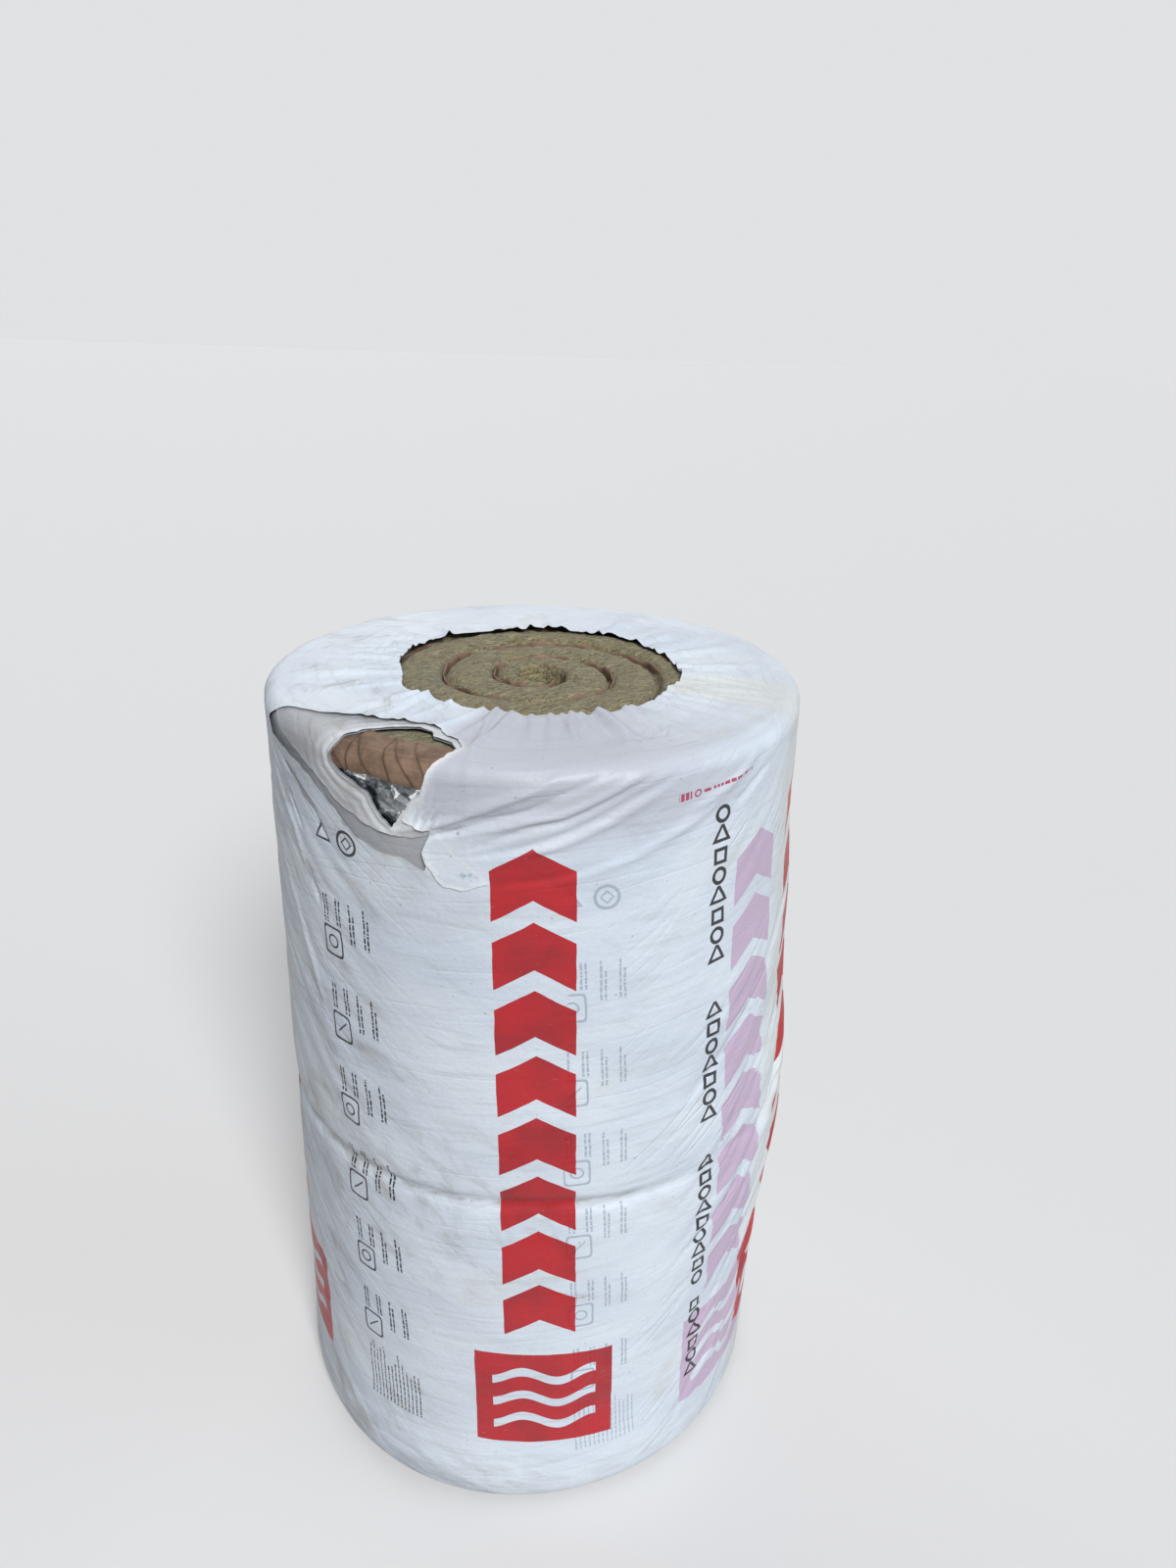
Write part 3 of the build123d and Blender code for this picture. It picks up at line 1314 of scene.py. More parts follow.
@dataclass(frozen=True)
class KraftFinish:
    """Brown kraft paper with pale stiffening threads and fibre flecks, and painted shade in its creases and along its
    lower edge.
    """

    paper: Colour = srgb(138, 113, 95)
    deep: Colour = srgb(98, 78, 64)
    fleck: Colour = srgb(84, 64, 50)
    thread: Colour = srgb(176, 158, 138)
    # Painted shade in the creases and along the lower edge.
    crease: Colour = srgb(62, 48, 40)
    thread_pitch: float = 0.0085
    cross_pitch: float = 0.024

    def material(self, name: str) -> bpy.types.Material:
        """Build the finish.

        Args:
            name: The material's name.

        Returns:
            The material.
        """
        graph = Graph(bpy.data.materials.new(name), self.paper)
        place = graph.object_place()
        x, y, z = graph.axes(place)
        tone = graph.noise(place, 38.0, 4.0, 0.6)
        flecks = graph.noise(graph.stretched(place, (400.0, 400.0, 900.0)), detail=2.0)
        across = graph.math("ARCTAN2", x, y * -1.0) * 0.3 + z * 0.5
        threads = (z / self.thread_pitch).part().near(0.5, 0.055)
        threads = threads | (across / self.cross_pitch).part().near(0.5, 0.02)
        graph.paint(tone.eased(0.35, 0.7), self.deep)
        graph.paint(flecks.eased(0.58, 0.7, 0.0, 0.35), self.fleck)
        graph.paint(threads * 0.14, self.thread)
        # Painted shade: the mesh's crease value darkens the creases and the lower edge.
        graph.paint(graph.attribute("crease") * 0.72, self.crease)
        for height, depth in ((tone, 0.0010), (threads, 0.00012), (flecks, 0.0001)):
            graph.bump(height, depth)
        return graph.dress(tone * 0.2 + 0.62, Specular_IOR_Level=0.3)


@dataclass(frozen=True)
class WoolFinish:
    """Stone wool: matted grey-green fibres with ochre binder, and painted shade in its pits."""

    light: Colour = srgb(158, 150, 118)
    dark: Colour = srgb(94, 90, 68)
    ochre: Colour = srgb(150, 124, 78)
    # Painted shade in the pits between the fibres.
    pit_shade: Colour = srgb(52, 49, 38)

    def material(self, name: str) -> bpy.types.Material:
        """Build the finish.

        Args:
            name: The material's name.

        Returns:
            The material.
        """
        graph = Graph(bpy.data.materials.new(name), self.dark)
        place = graph.object_place()
        clumps = graph.noise(place, 55.0, 5.0, 0.65, 0.6)
        strands, crossing = (
            graph.noise(graph.stretched(place, scale, turn), detail=4.0, warp=1.2)
            for scale, turn in (((60.0, 420.0, 300.0), 30.0), ((420.0, 70.0, 300.0), -18.0))
        )
        graph.paint(strands.eased(0.36, 0.66), self.light)
        graph.paint(crossing.eased(0.46, 0.70, 0.0, 0.5), self.light)
        graph.paint(clumps.eased(0.50, 0.72, 0.0, 0.55), self.ochre)
        # Painted shade: dark specks where pits between the fibres lie in shade.
        graph.paint(graph.noise(place, 300.0, 3.0, 0.6).eased(0.56, 0.70, 0.0, 0.7), self.pit_shade)
        graph.bump(clumps, 0.006)
        graph.bump(strands | crossing, 0.0022)
        return graph.dress(clumps * 0.1 + 0.86, Specular_IOR_Level=0.15, Sheen_Weight=0.12)


@dataclass(frozen=True)
class Patch:
    """A smaller piece of film with a torn outline, given by lines and functions of (s, m)."""

    name: str
    layer: Layer
    step: float
    outline: Line
    hole: Line | None
    lift: Callable[[Array, Array], Array]
    strain: Callable[[Array, Array], Array]


@dataclass
class FilmBag:
    """The film bag: its outer layer, the two layers bared by the tear, and the torn flap."""

    meridian: Meridian = Meridian(radius=0.3016, rim=0.019, height=0.9602, opening=0.160, base_gap=0.0018)
    free_edge: float = 0.475
    tuck: float = 0.036
    least_radius: float = 0.2997
    pressed: float = 0.0010
    softness: float = 0.0005
    top_slack: float = 0.0012
    crease_wander: float = 0.004
    crease_depth: float = 0.0046
    crease_reach: float = 0.0075
    hollow_depth: float = 0.0014
    hollow_reach: float = 0.030
    slack_middle: float = 0.410
    slack_half: float = 0.34
    belly_bulge: float = 0.0150
    belly_middle: float = 0.445
    belly_reach: Span = (0.20, 0.13)
    pleats_each_end: int = 120
    pleat_slant: float = 0.25
    pleat_heights: Span = (0.0008, 0.0042)
    pleat_reaches: Span = (0.0035, 0.0090)
    pleat_starts: Span = (-0.045, 0.045)
    grid_step: float = 0.0030
    finish: FilmFinish = FilmFinish()
    made: list[bpy.types.Object] = field(default_factory=list)

    def joint_crease(self, s: Array, m: Array) -> Array:
        """Depth of the crease where the film is drawn in between the two rolls.

        It is a narrow bell across the joint's height, which wanders by a slow swell, inside a
        wide shallow one. It is sharpest at the front left and fades to the right.

        Args:
            s: Arc along the girth.
            m: Meridian length.

        Returns:
            Depth at each place.
        """
        middle = JOINT + self.crease_wander * Swell(5, 16, 0.5).at(s, m * 0.0, self.meridian.girth)
        sharp = 0.35 + 0.65 * (1.0 - ease(s, 0.06, 0.24)) * (1.0 - ease(-s, 1.10, 1.40))
        crease = self.crease_depth * hump(m, middle, self.crease_reach)
        return sharp * (crease + self.hollow_depth * hump(m, middle, self.hollow_reach))

    def aside(self, s: Array) -> Array:
        """Arc from the middle of the slack film, the short way round, so that both layers agree."""
        girth = self.meridian.girth
        return (s - self.slack_middle + girth / 2) % girth - girth / 2

    def slack(self, s: Array, m: Array) -> Array:
        """Where the film hangs loose on the right: a belly, crossed by long slanting valleys.

        The belly is a bell along the girth and up it.

        Args:
            s: Arc along the girth.
            m: Meridian length.

        Returns:
            Height at each place.
        """
        aside = self.aside(s)
        around, up = self.belly_reach
        belly = self.belly_bulge * hump(aside, 0.0, around) * hump(m, self.belly_middle, up)
        places = rowed(aside + self.slack_middle, m)
        near = np.abs(places[:, 0] - self.slack_middle) < self.slack_half
        near &= (places[:, 1] > 0.0) & (places[:, 1] < 0.96)
        valleys = np.zeros(len(places))
        for fold in slack_folds():
            valleys[near] += fold.lift(places[near])
        return belly + valleys.reshape(s.shape)

    def wrinkles(self, s: Array, m: Array) -> Array:
        """Random wrinkles: slow swells, level crests at the front, slanting ruffles on the right.

        Args:
            s: Arc along the girth.
            m: Meridian length.

        Returns:
            Height at each place.
        """
        place = (s, m, self.meridian.girth)
        slow = 0.0011 * Swell(11, 12, 0.17).at(*place) + 0.0006 * Swell(12, 30, 0.062).at(*place)
        patches = ease(Swell(13, 10, 0.16).at(*place), -0.4, 0.6)
        level = 0.00034 * patches * Swell(14, 14, 0.022).creased(*place)
        left = plateau(-s, (0.10, 0.30), (0.60, 0.80))
        falling = -0.0010 * left * Swell(20, 16, 0.030, 50, -1).creased(*place)
        aside = self.aside(s)
        right = plateau(aside, (-0.37, -0.13), (0.10, 0.30)) * (0.35 + 0.65 * hump(m, 0.38, 0.24))
        slanted = 0.0016 * Swell(16, 15, 0.034, 54, 1).creased(*place)
        slanted += 0.0006 * Swell(17, 30, 0.0170, 108, 1).creased(*place)
        ruffle = plateau(aside, (-0.21, -0.09), (0.08, 0.25)) * hump(m, 0.40, 0.25)
        ruffled = 0.0046 * Swell(18, 16, 0.031, 60, 1).at(*place)
        wall = plateau(m, (0.0, 0.04), (0.94, 0.97))
        return wall * (slow + level + falling - right * slanted + ruffle * ruffled)

    def gathers(self, s: Array, m: Array) -> Array:
        """Pleats of the end laps, where a longer edge is drawn into a shorter ring.

        Each pleat is a bell across a line that runs towards the axis with a slant of its own. It
        grows from nothing some way down the wall to its full height at the opening.

        Args:
            s: Arc along the girth.
            m: Meridian length.

        Returns:
            Height at each place.
        """
        line = self.meridian
        random = np.random.default_rng(21)
        lift = np.zeros_like(s)
        for end, inward in ((line.height, 1.0), (line.base_gap, -1.0)):
            past = inward * (m - end)
            inside_end = np.maximum(past, 0.0)
            narrowed = np.clip(line.radius - inside_end, line.opening, line.radius) / line.radius
            for _ in range(self.pleats_each_end):
                middle, slant = random.uniform(0.0, line.girth), random.normal(0.0, self.pleat_slant)
                tall, wide = random.uniform(*self.pleat_heights), random.uniform(*self.pleat_reaches)
                start = random.uniform(*self.pleat_starts)
                arc = (s - middle - slant * inside_end + line.girth / 2) % line.girth - line.girth / 2
                grown = ease(past, start - 0.01, 0.125)
                lift += tall * grown * hump(arc * narrowed, 0.0, wide * (1.0 - 0.35 * grown))
        return lift

    def lift(self, s: Array, m: Array) -> Array:
        """Height of the outer layer above the meridian line, before the tear's own folds.

        On the wall and the top it is held softly above the rolls, by the logarithm of 1 plus e
        to the power of the height over it. Under the base it lies between the roll and the
        floor, by a hyperbolic tangent, and flat under the roll's rim.

        Args:
            s: Arc along the girth.
            m: Meridian length.

        Returns:
            Height at each place.
        """
        line = self.meridian
        free = self.wrinkles(s, m) + self.slack(s, m) - self.joint_crease(s, m)
        laps = ease(m, line.height - 0.06, line.height + 0.03) + ease(-m, -0.06 - line.base_gap, 0.03)
        swell = 0.0009 * Swell(19, 40, 0.03).at(s, m, line.girth)
        raised = free + self.gathers(s, m) + laps * swell
        room = line.radius - self.least_radius + 0.0055 * hump(m, JOINT, 0.012)
        held = np.where(m > line.height - line.rim, self.top_slack, room)
        raised = -held + self.softness * np.logaddexp(0.0, (raised + held) / self.softness)
        base = ease(-m, -line.base_gap - line.rim, 0.004)
        under = np.maximum(-0.0042 + 0.0055 * np.tanh((raised + 0.0002) / 0.0032), -0.0024)
        under += (self.pressed - under) * ease(m, -0.034, -0.016)
        return raised * (1.0 - base) + np.minimum(under, line.base_gap - 0.0004) * base

    def folded(self, s: Array, m: Array) -> Array:
        """Height that single folds, the tear's raised lips and its pleats add to the outer layer.

        Args:
            s: Arc along the girth.
            m: Meridian length.

        Returns:
            Height at each place.
        """
        places = rowed(s, m)
        low, high = (-0.40, 0.58), (0.31, 1.06)
        near = ((places > low) & (places < high)).all(axis=1)
        there = places[near]
        gap, _ = edge_distance(there, TEAR_OUTER)
        added = sum(fold.lift(there) for fold in TENSION_FOLDS)
        added += 0.0011 * fading(gap, 0.030) + 0.0010 * fading(gap, 0.004)
        s_near, m_near = there.T
        pleats = hump(s_near, -0.106, 0.014) * hump(m_near, 0.908, 0.020)
        bent = s_near - m_near * 0.45 + 0.0014 * np.sin(m_near * 210.0)
        added += 0.0019 * pleats * (1.0 - 2.0 * np.abs(np.sin(bent * math.pi / 0.0094)) ** 0.7)
        lift = np.zeros(len(places))
        lift[near] = added
        return lift.reshape(s.shape)

    def whitening(self, s: Array, m: Array, outline: Line, reach: float) -> Array:
        """Strain that dies away from a torn edge."""
        return fading(edge_distance(rowed(s, m), outline)[0], reach).reshape(s.shape)

    def cut(self, s: Array, m: Array, outline: Line, step: float, keep_inside: bool) -> tuple[Array, Array, Array]:
        """Cut a grid along an outline.

        Grid points within half a step of the outline are moved onto it. Where a face still
        straddles it, the corners on the side that goes are moved onto it too, and the faces
        with a corner on the kept side and none beyond the outline stay.

        Args:
            s: Arc of each grid point.
            m: Meridian length of each grid point.
            outline: Closed line to cut along.
            step: Largest spacing of the grid near the outline.
            keep_inside: Whether the inside stays, rather than the outside.

        Returns:
            New s, new m, and the mask of kept faces.
        """
        places = rowed(s, m)
        corners = np.array(outline)
        low, high = corners.min(axis=0) - 4 * step, corners.max(axis=0) + 4 * step
        near = ((places > low) & (places < high)).all(axis=1)
        gap, onto = np.full(len(places), 1.0), places.copy()
        gap[near], onto[near] = edge_distance(places[near], outline)
        gap[np.abs(gap) < 0.5 * step] = 0.0
        gap = gap.reshape(s.shape) * (-1.0 if keep_inside else 1.0)
        sides = (slice(None, -1), slice(1, None))
        quads = [(rows, columns) for rows in sides for columns in sides]
        lowest, highest = (pick.reduce([gap[quad] for quad in quads]) for pick in (np.minimum, np.maximum))
        straddling = (lowest < 0.0) & (highest > 0.0)
        pulled = np.zeros(gap.shape, bool)
        for quad in quads:
            pulled[quad] |= straddling & (gap[quad] < 0.0)
        gap[pulled] = 0.0
        moved = np.where((gap == 0.0).reshape(-1, 1), onto, places)
        lowest, highest = (pick.reduce([gap[quad] for quad in quads]) for pick in (np.minimum, np.maximum))
        return moved[:, 0].reshape(s.shape), moved[:, 1].reshape(s.shape), (lowest >= 0.0) & (highest > 0.0)

    def frayed(self, s: Array, m: Array) -> tuple[Array, Array]:
        """Shift places near the tear by a fine swell, which leaves its edges uneven.

        Args:
            s: Arc along the girth.
            m: Meridian length.

        Returns:
            The shifted s and m.
        """
        place = (s, m, self.meridian.girth)
        near = hump(s, -0.17, 0.17) * hump(m, 0.93, 0.13)
        aside = 0.0011 * Swell(35, 300, 0.006, 200).at(*place) + 0.0010 * Swell(36, 120, 0.014, 90).at(*place)
        along = 0.0011 * Swell(37, 280, 0.0065, 200).at(*place) + 0.0010 * Swell(38, 110, 0.015, 90).at(*place)
        return s + near * aside, m + near * along

    def film_piece(
        self, name: str, layer: Layer, place: tuple[Array, Array], points: Array, kept: Array, strain: Array,
    ) -> bpy.types.Object:
        """Make one piece of film.

        Args:
            name: Name of the piece.
            layer: Which layer it is cut from.
            place: Its (s, m) places, which carry the print and the dirt.
            points: Its points in space.
            kept: Mask of the faces that stay.
            strain: Whitening at each point.

        Returns:
            The new object.
        """
        s, m = place
        fields = {"film_place": np.stack([s, m, s * 0.0], axis=-1), "strain": strain}
        made = grid_mesh(name, settled(points), kept, fields=fields)
        made.data.materials.append(self.finish.material(layer))
        return made

    def build_outer(self) -> bpy.types.Object:
        """The whole outer layer: one sheet round the rolls, whose free edge lies over its start.

        Returns:
            The outer layer.
        """
        line, free = self.meridian, self.free_edge
        start = free - line.girth
        s_axis = spaced(
            (start - self.tuck, start, 0.009), (start, -0.62, 0.0105), (-0.62, -0.36, 0.0068),
            (-0.36, -0.06, 0.0026), (-0.06, free, 0.0052),
        )
        m_axis = spaced(
            (line.lowest, -0.012, 0.0080), (-0.012, 0.030, 0.0044), (0.030, 0.83, 0.0047),
            (0.83, 0.9705, 0.0028), (0.9705, 1.035, self.grid_step), (1.035, line.highest, 0.0052),
        )
        s, m, kept = self.cut(*np.meshgrid(s_axis, m_axis), TEAR_OUTER, self.grid_step, keep_inside=False)
        s, m = self.frayed(s, m)
        edge = 0.0016 * ease(s, free - 0.10, free - 0.004) - 0.0014 * (1.0 - ease(s, start - 0.01, start + 0.02))
        edge += 0.0010 * ease(s, free - 0.006, free) * Swell(31, 90, 0.02, 96).at(s, m, line.girth)
        lift = self.lift(s, m) + self.folded(s, m) + edge * ease(m, 0.0, 0.03)
        level = (s, m * 0.0, line.girth)
        ragged = 0.007 * Swell(32, 18, 0.5).at(*level) + 0.0010 * Swell(33, 90, 0.5).at(*level)
        inward = ease(m, line.highest - 0.05, line.highest) - ease(-m, -line.lowest - 0.05, -line.lowest)
        points = line.place(s, m + ragged * inward, lift)
        strain = self.whitening(s, m, TEAR_OUTER, 0.005)
        made = self.film_piece("bag_outer_film", Layer.OUTER, (s, m), points, kept, strain)
        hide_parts("film_bag")
        return made

    def build_patch(self, patch: Patch) -> bpy.types.Object:
        """Build a smaller piece of film.

        Args:
            patch: What it is cut to, and how it lies.

        Returns:
            The new object.
        """
        corners, step = np.array(patch.outline), patch.step
        axes = [spaced((low - step, high + step, step)) for low, high in zip(corners.min(axis=0), corners.max(axis=0))]
        s, m, kept = self.cut(*np.meshgrid(*axes), patch.outline, step, keep_inside=True)
        if patch.hole is not None:
            s, m, clear = self.cut(s, m, patch.hole, step, keep_inside=False)
            kept = kept & clear
        s, m = self.frayed(s, m)
        points = self.meridian.place(s, m, patch.lift(s, m))
        return self.film_piece(patch.name, patch.layer, (s, m), points, kept, patch.strain(s, m))

    def lip_lift(self, s: Array, m: Array) -> Array:
        """Height of the torn lip: swags round the hole, raised towards its edges.

        The swags are a sine of the distance from the hole, stretched with it, and die with it.

        Args:
            s: Arc along the girth.
            m: Meridian length.

        Returns:
            Height at each place.
        """
        places = rowed(s, m)
        hole = np.abs(edge_distance(places, TEAR_INNER)[0]).reshape(s.shape)
        low = nearest_on(places, LIP_OUTLINE[:12], closed=False)[0].reshape(s.shape)
        tension = sum(fold.lift(places) for fold in TENSION_FOLDS[:6]).reshape(s.shape)
        phase = 1.0 + 1.6 * Swell(39, 40, 0.030).at(s, m, self.meridian.girth)
        swags = 0.0008 * np.sin(FULL_TURN * (hole / 0.0095) ** 0.85 + phase) * fading(hole, 0.026)
        return -0.0002 + swags + 0.5 * tension + 0.0012 * fading(low, 0.004) + 0.0010 * fading(hole, 0.003)

    def inner_lift(self, s: Array, m: Array) -> Array:
        """Height of the inner layer: close on the roll, with faint swells."""
        return -0.0013 + 0.0005 * Swell(41, 60, 0.025).at(s, m, self.meridian.girth)

    def flap_lift(self, s: Array, m: Array) -> Array:
        """Height of the torn flap: just above the outer layer, curling away at its ragged edge.

        Args:
            s: Arc along the girth.
            m: Meridian length.

        Returns:
            Height at each place.
        """
        gap = nearest_on(rowed(s, m), FLAP_OUTLINE[:11], closed=False)[0].reshape(s.shape)
        over = 0.0005 + 0.0007 * fading(gap, 0.012) + 0.0008 * fading(gap, 0.0025)
        return self.lift(s, m) + self.folded(s, m) + over

    def build(self) -> list[bpy.types.Object]:
        """Build and place all of the bag's pieces.

        Returns:
            The pieces, with the outer layer first.
        """
        patches = (
            Patch(
                "bag_torn_lip", Layer.LIP, 0.0018, LIP_OUTLINE, TEAR_INNER, self.lip_lift,
                lambda s, m: 0.25 + 0.75 * self.whitening(s, m, TEAR_INNER, 0.020),
            ),
            Patch(
                "bag_inner_film", Layer.INNER, 0.0020, INNER_OUTLINE, TEAR_INNER, self.inner_lift,
                lambda s, m: s * 0.0,
            ),
            Patch(
                "bag_torn_flap", Layer.OUTER, 0.0014, FLAP_OUTLINE, None, self.flap_lift,
                lambda s, m: self.whitening(s, m, FLAP_OUTLINE[:11], 0.003) * 0.8,
            ),
        )
        self.made = [self.build_outer(), *(self.build_patch(patch) for patch in patches)]
        for piece in self.made:
            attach(piece, BODY)
        return self.made


@dataclass
class Facing:
    """The foil facing's outer turn on the upper roll and its paper edge over the top rim."""

    radius: float = 0.2978
    foil_span: Span = (0.482, 0.9400)
    bared: Span = (-0.25, -0.08)
    plain_step: float = 0.03
    bared_step: float = 0.0011
    bared_from: Span = (0.87, 0.875)
    dents: Span = (0.0011, 0.00045)
    rim: Meridian = Meridian(radius=0.2994, rim=0.0175, height=0.9585, opening=0.262, base_gap=0.0)
    paper_low: float = 0.9315
    crease_height: float = 0.0010
    crease_reaches: Triple = (0.0016, 0.010, 0.0014)
    creases: tuple[Span, ...] = (
        (-0.2045, 0.6), (-0.1900, 1.0), (-0.1690, 0.9), (-0.1440, 1.0), (-0.1230, 0.9), (-0.1040, 0.8),
    )
    foil: FoilFinish = FoilFinish()
    kraft: KraftFinish = KraftFinish()

    def facets(self, s: Array, m: Array, seed: int, size: float, turn: float) -> tuple[Array, Array]:
        """Crumpled surface of flat triangles.

        Random heights stand on a turned square lattice, bent by two slow sines. Each square is split along a diagonal
        and each half is the plane through its three corners. The tone is a sine of the plane's slopes, so that it is
        constant on a triangle; on the foil it sets painted reflections, darker or lighter on each of the facets.

        Args:
            s: Arc along the girth.
            m: Height.
            seed: Seed of the heights.
            size: Side of a lattice square.
            turn: Angle of the lattice in radians.

        Returns:
            Heights from -1 to 1, and tones of painted reflection from 0 to 1.
        """
        heights = np.random.default_rng(seed).uniform(-1.0, 1.0, (64, 64))
        x = (s * math.cos(turn) + m * math.sin(turn)) / size + 0.45 * np.sin(m / size * 1.7 + seed)
        y = (m * math.cos(turn) - s * math.sin(turn)) / size + 0.45 * np.sin(s / size * 1.3 + 2.0 * seed)
        i, j = np.floor(x), np.floor(y)
        u, v = x - i, y - j
        i0, j0 = i.astype(int) % 64, j.astype(int) % 64
        i1, j1 = (i0 + 1) % 64, (j0 + 1) % 64
        first, right, upper, last = heights[i0, j0], heights[i1, j0], heights[i0, j1], heights[i1, j1]
        far = u + v > 1.0
        across = np.where(far, last - upper, right - first)
        along = np.where(far, last - right, upper - first)
        height = np.where(far, last - across * (1.0 - u) - along * (1.0 - v), first + across * u + along * v)
        return height, 0.5 + 0.5 * np.sin(2.6 * across + 3.9 * along + 0.8)

    def build_foil(self) -> bpy.types.Object:
        """The foil sleeve, closely crumpled where the tear bares it and plain elsewhere.

        Returns:
            The foil sleeve.
        """
        left, right = self.bared
        low, high = self.foil_span
        wide_step, step, start = self.plain_step, self.bared_step, self.bared_from[0]
        s_axis = spaced((-0.945, left, wide_step), (left, right, step), (right, 0.93, wide_step))
        s, m = np.meshgrid(s_axis, spaced((low, start, wide_step), (start, high, step)))
        near = plateau(s, (left, left + 0.01), (right - 0.01, right)) * ease(m, *self.bared_from)
        (large, wide), (small, fine) = self.facets(s, m, 51, 0.013, 0.5), self.facets(s, m, 52, 0.0055, 1.1)
        dents = np.clip(self.dents[0] * large + self.dents[1] * small - 0.0006, -0.0022, 0.0004)
        r, angle = self.radius + near * dents, s / self.radius
        points = settled(np.stack([r * np.sin(angle), -r * np.cos(angle), m], axis=-1))
        # Tone of painted reflections, set by the slopes of the facets, only where the tear bares the foil.
        tone = near * (0.66 * wide + 0.34 * fine)
        made = grid_mesh("upper_roll_foil_sleeve", points, wrapped=True, fields={"tone": tone})
        made.data.shade_flat()
        made.data.materials.append(self.foil.material("foil_sleeve"))
        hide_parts("upper_roll_foil")
        return made

    def build_paper(self) -> bpy.types.Object:
        """The paper edge folded over the top rim, creased where the tear bares it.

        A crease is a hyperbolic tangent across its own slanted, wavering line, dying with the distance from it.
        Painted shade, a bell across the line, darkens it, and more painted shade darkens the paper along its lower
        edge.

        Returns:
            The paper edge.
        """
        line, low = self.rim, self.paper_low
        s_axis = spaced((-0.94, -0.25, 0.02), (-0.25, -0.05, 0.0012), (-0.05, 0.93, 0.02))
        s, m = np.meshgrid(s_axis, spaced((low, line.highest, 0.0014)))
        near = plateau(s, (-0.26, -0.24), (-0.07, -0.05))
        slant = s + (m - 0.94) * 0.45
        creased, dark = np.zeros_like(s), np.zeros_like(s)
        sharp, far, shaded = self.crease_reaches
        for middle, depth in self.creases:
            bent = slant - middle + 0.0010 * np.sin(m * 150.0 + middle * 900.0)
            bent += 0.35 * (m - 0.942) * math.sin(middle * 700.0)
            creased += depth * np.tanh(bent / sharp) * fading(bent, far)
            dark += depth * hump(bent, 0.0, shaded)
        dents = 0.0007 * self.facets(s, m, 61, 0.014, 0.9)[0]
        lift = near * (self.crease_height * creased + dents + 0.0003) - 0.0003
        edge_shade, edge = (ease(-m, -low - reach, -low) for reach in (0.006, 0.012))
        lower = 0.0035 * edge * near * Swell(62, 70, 0.5).at(s, m * 0.0, line.girth)
        points = settled(line.place(s, m + lower, np.clip(lift, -0.0006, 0.0010)))
        # Painted shade in the creases and along the lower edge, kept as the mesh's crease value.
        shade = near * np.clip(dark + 0.6 * edge_shade, 0.0, 1.0)
        made = grid_mesh("upper_roll_paper_edge", points, wrapped=True, fields={"crease": shade})
        made.data.materials.append(self.kraft.material("kraft_rim"))
        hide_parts("upper_roll_top_edge")
        return made

    def build(self) -> list[bpy.types.Object]:
        """Build and place the facing's pieces.

        Returns:
            The pieces.
        """
        foil, paper = self.build_foil(), self.build_paper()
        for piece, slot in ((foil, Slot.FOIL), (paper, Slot.KRAFT)):
            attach(piece, BODY)
        return [foil, paper]


